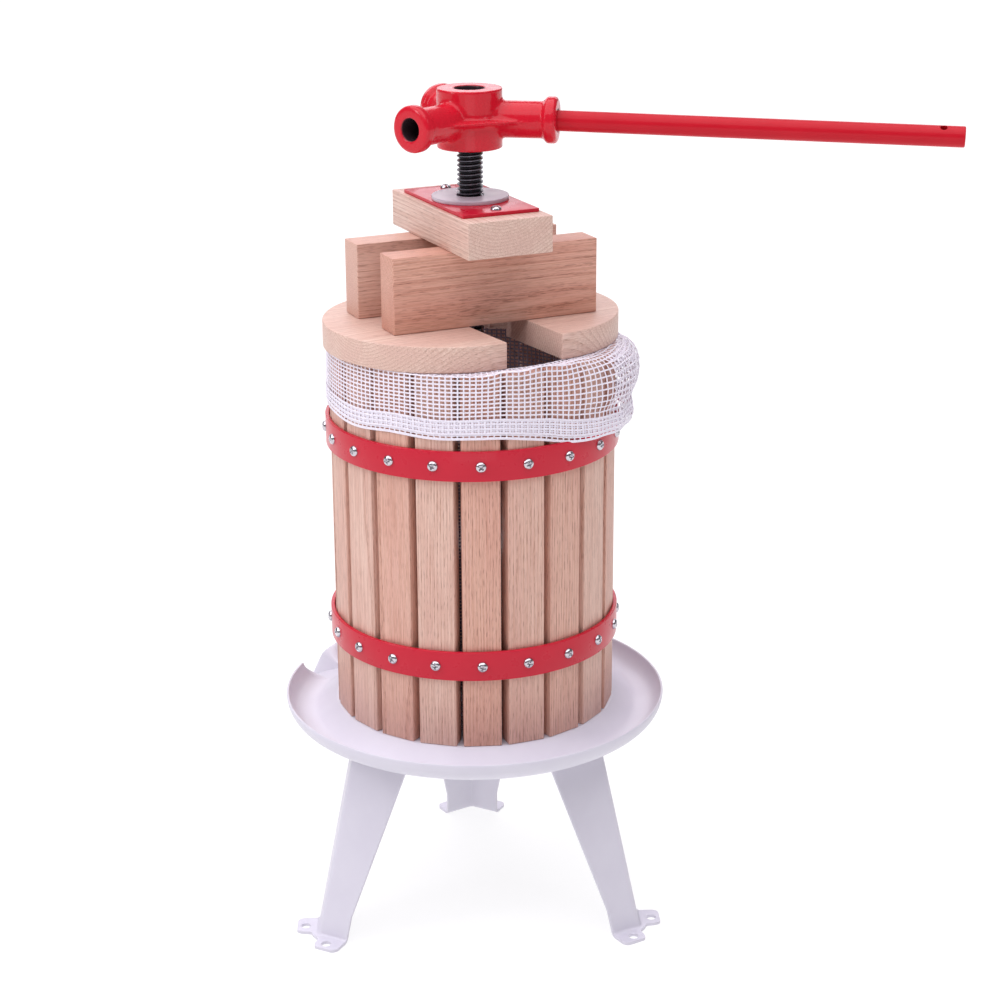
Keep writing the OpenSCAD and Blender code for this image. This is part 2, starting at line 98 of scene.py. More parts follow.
def turn_about_z(points: Array, degrees: float) -> Array:
    """Turns points about the Z axis.

    Args:
        points: Array of shape (..., 3).
        degrees: Turn, anticlockwise seen from above.

    Returns:
        The turned points.
    """
    a = math.radians(degrees)
    turn = np.array([[math.cos(a), math.sin(a), 0], [-math.sin(a), math.cos(a), 0], [0, 0, 1]])
    return points @ turn


def arc(middle: tuple[float, float], r: float, start: float, end: float, steps: int = 8) -> Array:
    """Points of a circle's arc: middle + r (cos a, sin a), with a going evenly from start to end.

    Args:
        middle: Centre in the plane.
        r: Radius.
        start: First angle in degrees.
        end: Last angle in degrees.
        steps: Number of chords.

    Returns:
        Array of shape (steps + 1, 2).
    """
    a = np.radians(np.linspace(start, end, steps + 1))
    return np.stack([middle[0] + r * np.cos(a), middle[1] + r * np.sin(a)], -1)


def rounded_box(width: float, depth: float, r: float, steps: int = 4) -> Array:
    """Outline of a rectangle about the origin with four round corners, anticlockwise.

    Args:
        width: Size along the first axis.
        depth: Size along the second axis.
        r: Corner radius.
        steps: Chords per corner.

    Returns:
        Array of shape (4 * steps + 4, 2).
    """
    x, y = width / 2 - r, depth / 2 - r
    corners = [(x, y, 0), (-x, y, 90), (-x, -y, 180), (x, -y, 270)]
    return np.concatenate([arc((cx, cy), r, a, a + 90, steps) for cx, cy, a in corners])


def inset_outline(outline: Array, inset: float) -> Array:
    """Moves a closed anticlockwise outline inwards: each point goes along its mitre, the sum of its two
    edges' normals.

    Args:
        outline: Array of shape (N, 2).
        inset: Distance from the old edges to the new ones.

    Returns:
        Array of shape (N, 2).
    """
    edge = np.roll(outline, -1, 0) - outline
    edge = edge / np.linalg.norm(edge, axis=1, keepdims=True)
    inward = np.stack([-edge[:, 1], edge[:, 0]], -1)
    mitre = inward + np.roll(inward, 1, 0)
    share = np.maximum(0.2, 1 + np.sum(inward * np.roll(inward, 1, 0), axis=1))
    return outline + inset * mitre / share[:, None]


class Shell:
    """A mesh in the making, in millimetres: grids of points are gathered and then made one object."""

    def __init__(self) -> None:
        """Starts with no points and no faces."""
        self.points: list[Array] = []
        self.faces: list[list[int]] = []
        self.count = 0

    def grid(self, points: Array, around: bool = False, closed: bool = False, caps: bool = False,
             keep: Array | None = None) -> None:
        """Adds the quads of a grid of points.

        Args:
            points: Array of shape (rows, columns, 3).
            around: Joins the last column to the first.
            closed: Joins the last row to the first.
            caps: Closes the first and the last row with one face each.
            keep: Which of the cells get a face, as an array of truth values.
        """
        rows, columns = points.shape[:2]
        index = self.count + np.arange(rows * columns).reshape(rows, columns)
        wide = np.concatenate([index, index[:, :1]], 1) if around else index
        tall = np.concatenate([wide, wide[:1]], 0) if closed else wide
        quads = np.stack([tall[:-1, :-1], tall[:-1, 1:], tall[1:, 1:], tall[1:, :-1]], -1)
        chosen = quads.reshape(-1, 4) if keep is None else quads[keep]
        self.faces += chosen.tolist()
        if caps:
            self.faces += [index[0, ::-1].tolist(), index[-1].tolist()]
        self.points.append(points.reshape(-1, 3))
        self.count += rows * columns

    def prism(self, outline: Array, low: float, high: float, ease: float, place: Callable[[Array], Array],
              steps: int = 3) -> None:
        """Adds a solid with one outline, whose two ends are rounded over: near an end the outline is inset by
        ease (1 - sin a) at a depth of ease (1 - cos a).

        Args:
            outline: Closed anticlockwise outline, shape (N, 2).
            low: Lower end along the third axis.
            high: Upper end along the third axis.
            ease: Radius of the rounding at the ends.
            place: Takes points (..., 3) to their place.
            steps: Chords of the rounding.
        """
        a = np.linspace(0, math.pi / 2, steps + 1)
        inset = ease * (1 - np.sin(a))
        depth = ease * (1 - np.cos(a))
        levels = np.concatenate([low + depth, high - depth[::-1]])
        insets = np.concatenate([inset, inset[::-1]])
        flat = np.stack([inset_outline(outline, i) for i in insets])
        height = np.broadcast_to(levels[:, None, None], flat.shape[:2] + (1,))
        self.grid(place(np.concatenate([flat, height], -1)), around=True, caps=True)

    def revolve(self, profile: Array, place: Callable[[Array], Array], steps: int = 96,
                closed: bool = False) -> None:
        """Adds a surface of revolution: profile point (r, z) at angle a goes to (r cos a, r sin a, z).

        Args:
            profile: Radius and height along the profile, shape (N, 2).
            place: Takes points (..., 3) to their place.
            steps: Number of angles.
            closed: Joins the profile's last point to its first, as for a ring.
        """
        a = np.linspace(0, 2 * math.pi, steps, endpoint=False)
        r, z = profile[:, :1], profile[:, 1:]
        points = np.stack([r * np.cos(a), r * np.sin(a), z + 0 * a], -1)
        self.grid(place(points), around=True, closed=closed)

    def build(self, name: str, weld: float = 1e-4, sharp: float = 40.0) -> bpy.types.Object:
        """Makes the object: merges doubles, points the faces outwards and shades smooth up to an angle.

        Args:
            name: Name of the piece.
            weld: Distance within which points are merged, in millimetres.
            sharp: Angle in degrees past which an edge stays sharp.

        Returns:
            The new object, linked to the scene.
        """
        mesh = bpy.data.meshes.new(name)
        points = np.concatenate(self.points) * MM
        mesh.from_pydata(points.tolist(), [], self.faces)
        form = bmesh.new()
        form.from_mesh(mesh)
        bmesh.ops.remove_doubles(form, verts=form.verts, dist=weld * MM)
        bmesh.ops.dissolve_degenerate(form, edges=form.edges, dist=weld * MM)
        bmesh.ops.recalc_face_normals(form, faces=form.faces)
        form.to_mesh(mesh)
        form.free()
        shade(mesh, sharp)
        made = bpy.data.objects.new(name, mesh)
        bpy.context.scene.collection.objects.link(made)
        return made


def shade(mesh: bpy.types.Mesh, sharp: float) -> None:
    """Shades a mesh smooth, with edges past an angle in degrees left sharp."""
    mesh.shade_smooth()
    mesh.set_sharp_from_angle(angle=math.radians(sharp))


def as_is(points: Array) -> Array:
    """Leaves points where they are."""
    return points


def settle(made: bpy.types.Object, sharp: float = 40.0) -> None:
    """Applies an object's modifiers to its mesh and shades it again.

    Args:
        made: The object.
        sharp: Angle in degrees past which an edge stays sharp.
    """
    bpy.context.view_layer.update()
    graph = bpy.context.evaluated_depsgraph_get()
    mesh = bpy.data.meshes.new_from_object(made.evaluated_get(graph))
    old = made.data
    mesh.name = made.name
    made.modifiers.clear()
    made.data = mesh
    bpy.data.meshes.remove(old)
    shade(mesh, sharp)


def drill(made: bpy.types.Object, holes: Shell, sharp: float = 40.0) -> None:
    """Takes the closed forms of a shell out of an object.

    Args:
        made: The object that is drilled.
        holes: Closed forms, one for each hole.
        sharp: Angle in degrees past which an edge stays sharp.
    """
    cutter = holes.build("cutter")
    cut = made.modifiers.new("holes", "BOOLEAN")
    cut.operation = "DIFFERENCE"
    cut.solver = "EXACT"
    cut.object = cutter
    settle(made, sharp)
    mesh = cutter.data
    bpy.data.objects.remove(cutter)
    bpy.data.meshes.remove(mesh)


def dress(made: bpy.types.Object, body: Body, slot: Slot, finish: bpy.types.Material,
          *nodes: str) -> bpy.types.Object:
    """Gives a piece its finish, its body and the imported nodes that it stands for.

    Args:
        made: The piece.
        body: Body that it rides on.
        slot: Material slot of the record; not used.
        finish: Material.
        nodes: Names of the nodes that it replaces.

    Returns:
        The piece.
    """
    made.data.materials.clear()
    made.data.materials.append(finish)
    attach(made, body.value)
    if nodes:
        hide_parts(*nodes)
    LOG.info("%s on %s: %d faces", made.name, body.value, len(made.data.polygons))
    return made


def linear(colour: str) -> tuple[float, float, float, float]:
    """Turns an sRGB hex colour to linear light: (s / 12.92) when dark, else ((s + 0.055) / 1.055) to the
    power 2.4.

    Args:
        colour: Six hex digits after a hash sign.

    Returns:
        Red, green, blue and an alpha of one.
    """
    s = np.array([int(colour[i:i + 2], 16) for i in (1, 3, 5)]) / 255
    light = np.where(s <= 0.04045, s / 12.92, ((s + 0.055) / 1.055) ** 2.4)
    return (*light.tolist(), 1.0)


def add(tree: bpy.types.NodeTree, kind: str, settings: dict | None = None, inputs: dict | None = None,
        stops: tuple = ()) -> bpy.types.Node:
    """Adds a node to a tree.

    Args:
        tree: Node tree.
        kind: Blender's name of the node's type.
        settings: Attributes of the node and their values.
        inputs: Sockets by name or number, each with a value or with the socket that feeds it.
        stops: Places and colours of a colour ramp.

    Returns:
        The node.
    """
    node = tree.nodes.new(kind)
    for key, value in (settings or {}).items():
        setattr(node, key, value)
    for key, value in (inputs or {}).items():
        if isinstance(value, bpy.types.NodeSocket):
            tree.links.new(value, node.inputs[key])
        else:
            node.inputs[key].default_value = value
    if stops:
        ramp = node.color_ramp.elements
        for place, _ in stops[1:-1]:
            ramp.new(place)
        for element, (place, value) in zip(ramp, stops):
            element.position = place
            element.color = linear(value) if isinstance(value, str) else (value, value, value, 1.0)
    return node


def per_metre(size_mm: float) -> float:
    """Scale of a pattern on object coordinates, in metres, whose features are size_mm wide."""
    return 1.0 / (size_mm * MM)


@dataclass(frozen=True)
class Finish:
    """A finish that makes one material."""

    name: str

    def start(self, values: dict) -> tuple[bpy.types.Material, bpy.types.NodeTree, bpy.types.Node]:
        """Starts a material.

        Args:
            values: The shader's sockets that are the same all over.

        Returns:
            The material, its node tree and its shader.
        """
        made = bpy.data.materials.new(self.name)
        made.use_nodes = True
        tree = made.node_tree
        tree.nodes.clear()
        shader = add(tree, "ShaderNodeBsdfPrincipled", inputs=values)
        add(tree, "ShaderNodeOutputMaterial", inputs={"Surface": shader.outputs["BSDF"]})
        return made, tree, shader

    def noise(self, tree: bpy.types.NodeTree, size_mm: float, detail: float = 2.0) -> bpy.types.NodeSocket:
        """Value of a noise on object coordinates.

        Args:
            tree: Node tree.
            size_mm: Width of its features.
            detail: Number of finer layers.

        Returns:
            The noise's value socket.
        """
        place = add(tree, "ShaderNodeTexCoord").outputs["Object"]
        return add(tree, "ShaderNodeTexNoise",
                   inputs={"Vector": place, "Scale": per_metre(size_mm), "Detail": detail}).outputs["Fac"]

    def roughness(self, tree: bpy.types.NodeTree, shader: bpy.types.Node, value: bpy.types.NodeSocket,
                  low: float, high: float) -> None:
        """Feeds the shader's roughness from a value between two limits."""
        span = add(tree, "ShaderNodeMapRange",
                   inputs={"Value": value, "From Min": 0.3, "From Max": 0.7, "To Min": low, "To Max": high})
        tree.links.new(span.outputs["Result"], shader.inputs["Roughness"])

    def bump(self, tree: bpy.types.NodeTree, shader: bpy.types.Node, height: bpy.types.NodeSocket,
             height_mm: float, coat: bool = False) -> None:
        """Feeds the shader's normal from a height.

        Args:
            tree: Node tree.
            shader: The shader.
            height: Height from 0 to 1.
            height_mm: Height of 1 in millimetres.
            coat: Bends the clear coat as well.
        """
        raised = add(tree, "ShaderNodeBump",
                     inputs={"Height": height, "Strength": 1.0, "Distance": height_mm * MM})
        tree.links.new(raised.outputs["Normal"], shader.inputs["Normal"])
        if coat:
            tree.links.new(raised.outputs["Normal"], shader.inputs["Coat Normal"])


@dataclass(frozen=True)
class Oak(Finish):
    """Planed oak, unfinished: rows of open pores along the early wood, pale late wood, and streaks of pink
    and tan.

    The attribute grain holds each point's place in its own board in millimetres, across, through and along
    the grain and counted from the pith; the attribute tone says how dark and red the board is.
    """

    pale: str = "#EED4C6"
    early: str = "#C99B88"
    pink: str = "#E2BCB0"
    pore: str = "#7C4C3D"
    deep: str = "#E8986F"
    ring_mm: float = 3.1

    def make(self) -> bpy.types.Material:
        """Makes the material: ring share = fraction of (distance from the pith, warped) / ring width."""
        made, tree, shader = self.start({"Roughness": 0.46, "Specular IOR Level": 0.5})
        grain = add(tree, "ShaderNodeAttribute", {"attribute_name": "grain"}).outputs["Vector"]
        tone = add(tree, "ShaderNodeAttribute", {"attribute_name": "tone"}).outputs["Fac"]
        across = 1.0 / self.ring_mm

        def stretched(x_mm: float, z_mm: float, detail: float) -> bpy.types.Node:
            """A noise with features x_mm wide across the grain and z_mm long along it."""
            place = add(tree, "ShaderNodeVectorMath", {"operation": "MULTIPLY"},
                        {0: grain, 1: (1 / x_mm, 1 / x_mm, 1 / z_mm)}).outputs[0]
            return add(tree, "ShaderNodeTexNoise", inputs={"Vector": place, "Scale": 1.0, "Detail": detail})

        def lay(base: object, colour: str, share: bpy.types.NodeSocket, amount: object = 1.0,
                way: str = "MIX") -> bpy.types.NodeSocket:
            """Lays a colour over the base: share times amount says how much of it shows."""
            much = add(tree, "ShaderNodeMath", {"operation": "MULTIPLY"}, {0: share, 1: amount}).outputs[0]
            return add(tree, "ShaderNodeMix", {"data_type": "RGBA", "blend_type": way},
                       {0: much, 6: base, 7: linear(colour)}).outputs[2]

        wander = add(tree, "ShaderNodeVectorMath", {"operation": "SUBTRACT"},
                     {0: stretched(45, 260, 2).outputs["Color"], 1: (0.5, 0.5, 0.5)}).outputs[0]
        bent = add(tree, "ShaderNodeVectorMath", {"operation": "MULTIPLY_ADD"},
                   {0: wander, 1: (7, 7, 0), 2: grain}).outputs[0]
        flat = add(tree, "ShaderNodeVectorMath", {"operation": "MULTIPLY"},
                   {0: bent, 1: (across, across, 0)}).outputs[0]
        rings = add(tree, "ShaderNodeVectorMath", {"operation": "LENGTH"}, {0: flat}).outputs["Value"]
        share = add(tree, "ShaderNodeMath", {"operation": "FRACT"}, {0: rings}).outputs[0]
        porous = add(tree, "ShaderNodeValToRGB", inputs={"Fac": share}, stops=(
            (0.0, 0.15), (0.06, 1.0), (0.2, 0.6), (0.42, 0.1), (1.0, 0.0))).outputs["Color"]
        fibre = stretched(0.9, 60, 3).outputs["Fac"]
        dull = add(tree, "ShaderNodeValToRGB", inputs={"Fac": fibre},
                   stops=((0.38, 0.55), (0.6, 0.0))).outputs["Color"]
        pores = add(tree, "ShaderNodeValToRGB", inputs={"Fac": stretched(0.7, 10, 1).outputs["Fac"]},
                    stops=((0.53, 0.0), (0.63, 1.0))).outputs["Color"]
        cloud = add(tree, "ShaderNodeValToRGB", inputs={"Fac": stretched(26, 200, 2).outputs["Fac"]},
                    stops=((0.35, 0.0), (0.65, 1.0))).outputs["Color"]
        rows = add(tree, "ShaderNodeMath", {"operation": "MULTIPLY_ADD"},
                   {0: porous, 1: 0.7, 2: 0.3}).outputs[0]
        vessel = add(tree, "ShaderNodeMath", {"operation": "MULTIPLY"}, {0: pores, 1: rows}).outputs[0]
        lines = add(tree, "ShaderNodeMath", {"operation": "MULTIPLY_ADD"},
                    {0: tone, 1: 0.4, 2: 0.42}).outputs[0]
        base = lay(linear(self.pale), self.early, porous, 0.62)
        base = lay(base, self.pink, cloud, 0.55)
        base = lay(base, self.early, dull)
        base = lay(base, self.pore, vessel, lines)
        base = lay(base, self.deep, tone, way="MULTIPLY")
        tree.links.new(base, shader.inputs["Base Color"])
        rise = add(tree, "ShaderNodeMath", {"operation": "MULTIPLY_ADD"},
                   {0: vessel, 1: -0.8, 2: fibre}).outputs[0]
        self.bump(tree, shader, rise, 0.16)
        return made


@dataclass(frozen=True)
class Enamel(Finish):
    """Gloss enamel over cast metal or steel: a clear bright top on a deep colour, with the soft lumps of what
    it covers.

    Inside a bore, as an attribute of the mesh marks it, the colour turns dark purple-brown and the clear coat
    fades out.
    """

    colour: str
    shade: str
    lump_mm: float
    lump_height_mm: float
    gloss: float = 0.3
    coat: float = 0.6
    # Dark colour that the mesh takes inside its bores.
    bore_colour: str = "#3A2A30"

    def make(self) -> bpy.types.Material:
        """Makes the material."""
        made, tree, shader = self.start({"Specular IOR Level": 0.2, "Coat Roughness": 0.03, "Coat IOR": 1.5})
        lump = self.noise(tree, self.lump_mm, 3)
        patch = self.noise(tree, 40, 1)
        base = add(tree, "ShaderNodeMix", {"data_type": "RGBA"},
                   {0: patch, 6: linear(self.colour), 7: linear(self.shade)}).outputs[2]
        bare = add(tree, "ShaderNodeAttribute", {"attribute_name": "bare"}).outputs["Fac"]
        base = add(tree, "ShaderNodeMix", {"data_type": "RGBA"},
                   {0: bare, 6: base, 7: linear(self.bore_colour)}).outputs[2]
        tree.links.new(base, shader.inputs["Base Color"])
        clear = add(tree, "ShaderNodeMapRange", inputs={"Value": bare, "To Min": self.coat, "To Max": 0.0})
        tree.links.new(clear.outputs["Result"], shader.inputs["Coat Weight"])
        self.roughness(tree, shader, lump, self.gloss - 0.05, self.gloss + 0.08)
        self.bump(tree, shader, lump, self.lump_height_mm, coat=True)
        return made


@dataclass(frozen=True)
class PowderCoat(Finish):
    """Baked white powder coat on pressed steel: satin, with a fine orange peel and a faint lilac shade in
    thin spots."""

    colour: str = "#DDDAE5"
    thin: str = "#D5D1DE"
    peel_mm: float = 2.2

    def make(self) -> bpy.types.Material:
        """Makes the material; the peel is drawn at 2.2 mm, about twice its real width, so that it shows."""
        made, tree, shader = self.start({
            "Specular IOR Level": 0.5, "Coat Weight": 0.15, "Coat Roughness": 0.2})
        peel = self.noise(tree, self.peel_mm, 2)
        base = add(tree, "ShaderNodeMix", {"data_type": "RGBA"},
                   {0: self.noise(tree, 30, 2), 6: linear(self.colour), 7: linear(self.thin)}).outputs[2]
        tree.links.new(base, shader.inputs["Base Color"])
        self.roughness(tree, shader, peel, 0.36, 0.46)
        self.bump(tree, shader, peel, 0.05)
        return made


@dataclass(frozen=True)
class Metal(Finish):
    """Bare or plated metal with faint blotches: dark ones dull the shine."""

    colour: str
    blotch: str
    low: float
    high: float
    blotch_mm: float = 5.0
    metallic: float = 1.0

    def make(self) -> bpy.types.Material:
        """Makes the material."""
        made, tree, shader = self.start({"Metallic": self.metallic})
        patch = self.noise(tree, self.blotch_mm, 3)
        base = add(tree, "ShaderNodeMix", {"data_type": "RGBA"},
                   {0: patch, 6: linear(self.colour), 7: linear(self.blotch)}).outputs[2]
        tree.links.new(base, shader.inputs["Base Color"])
        self.roughness(tree, shader, patch, self.low, self.high)
        self.bump(tree, shader, self.noise(tree, 0.9, 2), 0.03)
        return made


@dataclass(frozen=True)
class ThreadDarkerInGrooves(Finish):
    """Black oxide steel of a screw thread: nearly black in the grooves and a lighter grey on the crests."""

    root: str = "#1B191D"
    crest: str = "#605D65"
    root_r: float = 10.4
    crest_r: float = 12.4

    def make(self) -> bpy.types.Material:
        """Makes the material: the colour follows the distance from the spindle's axis."""
        made, tree, shader = self.start({"Metallic": 0.9})
        place = add(tree, "ShaderNodeTexCoord").outputs["Object"]
        level = add(tree, "ShaderNodeVectorMath", {"operation": "MULTIPLY"},
                    {0: place, 1: (1.0, 1.0, 0.0)}).outputs[0]
        reach = add(tree, "ShaderNodeVectorMath", {"operation": "LENGTH"}, {0: level}).outputs["Value"]
        share = add(tree, "ShaderNodeMapRange", inputs={
            "Value": reach, "From Min": self.root_r * MM, "From Max": self.crest_r * MM}).outputs["Result"]
        # Darker towards the grooves' root, lighter towards the crests.
        base = add(tree, "ShaderNodeMix", {"data_type": "RGBA"},
                   {0: share, 6: linear(self.root), 7: linear(self.crest)}).outputs[2]
        tree.links.new(base, shader.inputs["Base Color"])
        self.roughness(tree, shader, self.noise(tree, 4, 3), 0.22, 0.34)
        return made


@dataclass(frozen=True)
class Nylon(Finish):
    """Natural nylon, turned: milky, a little see-through, with fine tool rings."""

    colour: str = "#FAF1FC"

    def make(self) -> bpy.types.Material:
        """Makes the material; the tool rings are 0.8 mm apart about the spindle."""
        made, tree, shader = self.start({
            "Transmission Weight": 0.35, "IOR": 1.53, "Subsurface Weight": 0.4,
            "Subsurface Radius": (0.004, 0.004, 0.004)})
        cloud = self.noise(tree, 18, 2)
        base = add(tree, "ShaderNodeMix", {"data_type": "RGBA"},
                   {0: cloud, 6: linear(self.colour), 7: linear("#E4D8E8")}).outputs[2]
        tree.links.new(base, shader.inputs["Base Color"])
        self.roughness(tree, shader, cloud, 0.3, 0.42)
        place = add(tree, "ShaderNodeTexCoord").outputs["Object"]
        rings = add(tree, "ShaderNodeTexWave", {"wave_type": "RINGS", "rings_direction": "Z"},
                    {"Vector": place, "Scale": per_metre(0.8) / 20, "Distortion": 0.0}).outputs["Fac"]
        self.bump(tree, shader, rings, 0.03)
        return made


@dataclass(frozen=True)
class NetYarn(Finish):
    """White polyester net yarn: soft, matt, with a faint twist; a painted glow, an emission though the yarn
    is no lamp, makes it give back a little more light than falls on it as seen.
    """

    colour: str = "#F5F1FA"
    shade: str = "#E8E1EF"
    painted_glow: float = 0.045

    def make(self) -> bpy.types.Material:
        """Makes the material."""
        # The emission is a painted glow that makes the yarn look whiter.
        made, tree, shader = self.start({
            "Roughness": 0.75, "Specular IOR Level": 0.2, "Sheen Weight": 0.25, "Sheen Roughness": 0.5,
            "Subsurface Weight": 0.25, "Subsurface Radius": (0.001, 0.001, 0.001),
            "Emission Color": linear("#F4EEFF"), "Emission Strength": self.painted_glow})
        twist = self.noise(tree, 1.4, 2)
        base = add(tree, "ShaderNodeMix", {"data_type": "RGBA"},
                   {0: twist, 6: linear(self.colour), 7: linear(self.shade)}).outputs[2]
        tree.links.new(base, shader.inputs["Base Color"])
        self.bump(tree, shader, twist, 0.12)
        return made


@dataclass(frozen=True)
class Sawn:
    """How a board lies in its log: axes of the board and where its middle is, counted from the pith."""

    middle: tuple[float, float, float]
    turn: float
    upright: bool
    pith: tuple[float, float]
    along: float
    tone: float

    def axes(self) -> Array:
        """Rows across, through and along the grain: the grain runs up, or level along the turned first
        axis."""
        a = math.radians(self.turn)
        level = np.array([math.cos(a), math.sin(a), 0.0])
        side = np.array([-math.sin(a), math.cos(a), 0.0])
        return np.stack([side, level, UP]) if self.upright else np.stack([side, UP, level])

    def mark(self, made: bpy.types.Object) -> bpy.types.Object:
        """Writes the attributes grain and tone: grain = axes (point - middle) + place of the middle from
        the pith.

        Args:
            made: The board.

        Returns:
            The board.
        """
        mesh = made.data
        points = np.zeros(len(mesh.vertices) * 3, np.float32)
        mesh.vertices.foreach_get("co", points)
        local = (points.reshape(-1, 3) / MM - np.array(self.middle)) @ self.axes().T
        local += np.array([self.pith[0], self.pith[1], self.along])
        grain = mesh.attributes.new("grain", "FLOAT_VECTOR", "POINT")
        grain.data.foreach_set("vector", local.astype(np.float32).ravel())
        tone = np.full(len(mesh.vertices), self.tone, np.float32)
        mesh.attributes.new("tone", "FLOAT", "POINT").data.foreach_set("value", tone)
        return made


@dataclass(frozen=True)
class PanScrew:
    """A pan-head screw with a cross recess, its head above the third axis' zero."""

    head_d: float = 10.6
    head: float = 3.4
    shank_d: float = 4.6
    length: float = 15.0
    recess_depth: float = 2.3
    recess_half: float = 0.85
    recess_reach: float = 3.0
    steps: int = 40

    def points(self, turn: float) -> Array:
        """Grid of the screw: height = head (1 - s^3)^(1/2) with s = r / head radius, less the recess, whose
        depth falls to nothing outside a cross of two bars.

        Args:
            turn: Turn of the recess in degrees.

        Returns:
            Array of shape (rows, steps, 3).
        """
        big = self.head_d / 2
        share = np.array([0, 0.07, 0.14, 0.2, 0.27, 0.34, 0.41, 0.47,
                          0.52, 0.58, 0.68, 0.8, 0.9, 0.96, 0.99, 1.0])
        a = np.linspace(0, 2 * math.pi, self.steps, endpoint=False)
        r = (share * big)[:, None] + 0 * a
        dome = self.head * np.sqrt(1 - (r / big) ** 3)
        x, y = np.abs(r * np.cos(a)), np.abs(r * np.sin(a))
        near, far = np.minimum(x, y), np.maximum(x, y)
        inside = np.minimum(self.recess_half - near, self.recess_reach - far)
        floor = np.clip(inside / 0.3, 0, 1) * (1 - 0.5 * far / self.recess_reach)
        z = dome - self.recess_depth * floor
        tail_r = np.array([self.shank_d / 2, self.shank_d / 2, 0.0])
        tail_z = np.array([0.0, 3.0 - self.length, -self.length])
        r = np.concatenate([r, tail_r[:, None] + 0 * a])
        z = np.concatenate([z, tail_z[:, None] + 0 * a])
        spun = a + math.radians(turn)
        return np.stack([r * np.cos(spun), r * np.sin(spun), z], -1)


@dataclass
class Basket:
    """Twenty oak staves held by two red hoops with a screw through each hoop into each stave."""

    oak: bpy.types.Material
    red: bpy.types.Material
    chrome: bpy.types.Material
    radius: float = 140.0
    thickness: float = 18.5
    width: float = 36.99
    low: float = 230.9
    high: float = 603.9
    grain_z: float = 417.0
    count: int = 20
    first: float = -88.5
    hoop_inner: float = 141.16
    hoop_sheet: float = 4.0
    hoop_height: float = 29.3
    hoop_low: tuple[float, float] = (301.9, 503.6)

    def azimuth(self, i: int) -> float:
        """Direction of stave i in degrees."""
        return self.first + i * 360 / self.count

    def staves(self) -> None:
        """Builds the staves, each sawn from a place of its own in the log."""
        rng = np.random.default_rng(11)
        outline = rounded_box(self.thickness, self.width, 1.1)
        middle = self.radius - self.thickness / 2
        for i in range(self.count):
            a = self.azimuth(i)

            def place(points: Array, a: float = a) -> Array:
                """Puts a stave's points round the spindle."""
                return turn_about_z(points + np.array([middle, 0, 0]), a)

            form = Shell()
            form.prism(outline, self.low, self.high, 0.7, place)
            made = form.build(f"oak_stave_{i + 1:02d}", sharp=50)
            quarter = rng.random() < 0.6
            side = rng.choice([-1, 1])
            pith = (side * rng.uniform(70, 150), rng.uniform(-50, 50)) if quarter else (
                rng.uniform(-14, 14), side * rng.uniform(55, 110))
            centre = (middle * math.cos(math.radians(a)), middle * math.sin(math.radians(a)), self.grain_z)
            sawn = Sawn(centre, a, True, pith, rng.uniform(0, 4000), rng.uniform(0.12, 0.4))
            dress(sawn.mark(made), Body.BASKET, Slot.OAK, self.oak, f"stave_{i + 1:02d}")

    def hoops(self) -> None:
        """Builds the hoops: a flat band's rounded section carried round the spindle."""
        for low, word in zip(self.hoop_low, ("lower", "upper")):
            band = rounded_box(self.hoop_sheet, self.hoop_height, 0.8, 3)
            band = band + np.array([self.hoop_inner + self.hoop_sheet / 2, low + self.hoop_height / 2])
            form = Shell()
            form.revolve(band, as_is, 240, closed=True)
            made = form.build(f"red_hoop_{word}", sharp=50)
            dress(made, Body.BASKET, Slot.RED_ENAMEL, self.red, f"hoop_{word}")

    def screws(self) -> None:
        """Builds the hoops' screws, their cross recesses turned as they were left by the driver."""
        rng = np.random.default_rng(5)
        seat = self.hoop_inner + self.hoop_sheet
        for low, word in zip(self.hoop_low, ("lower", "upper")):
            form = Shell()
            for i in range(self.count):
                local = PanScrew().points(rng.uniform(0, 90))
                level = low + self.hoop_height / 2
                spread = np.stack([seat + local[..., 2], local[..., 0], level + local[..., 1]], -1)
                form.grid(turn_about_z(spread, self.azimuth(i)), around=True)
            made = form.build(f"hoop_screws_{word}", sharp=35)
            dress(made, Body.BASKET, Slot.ZINC, self.chrome, f"hoop_{word}_screws")

    def build(self) -> None:
        """Builds the whole basket."""
        self.staves()
        self.hoops()
        self.screws()


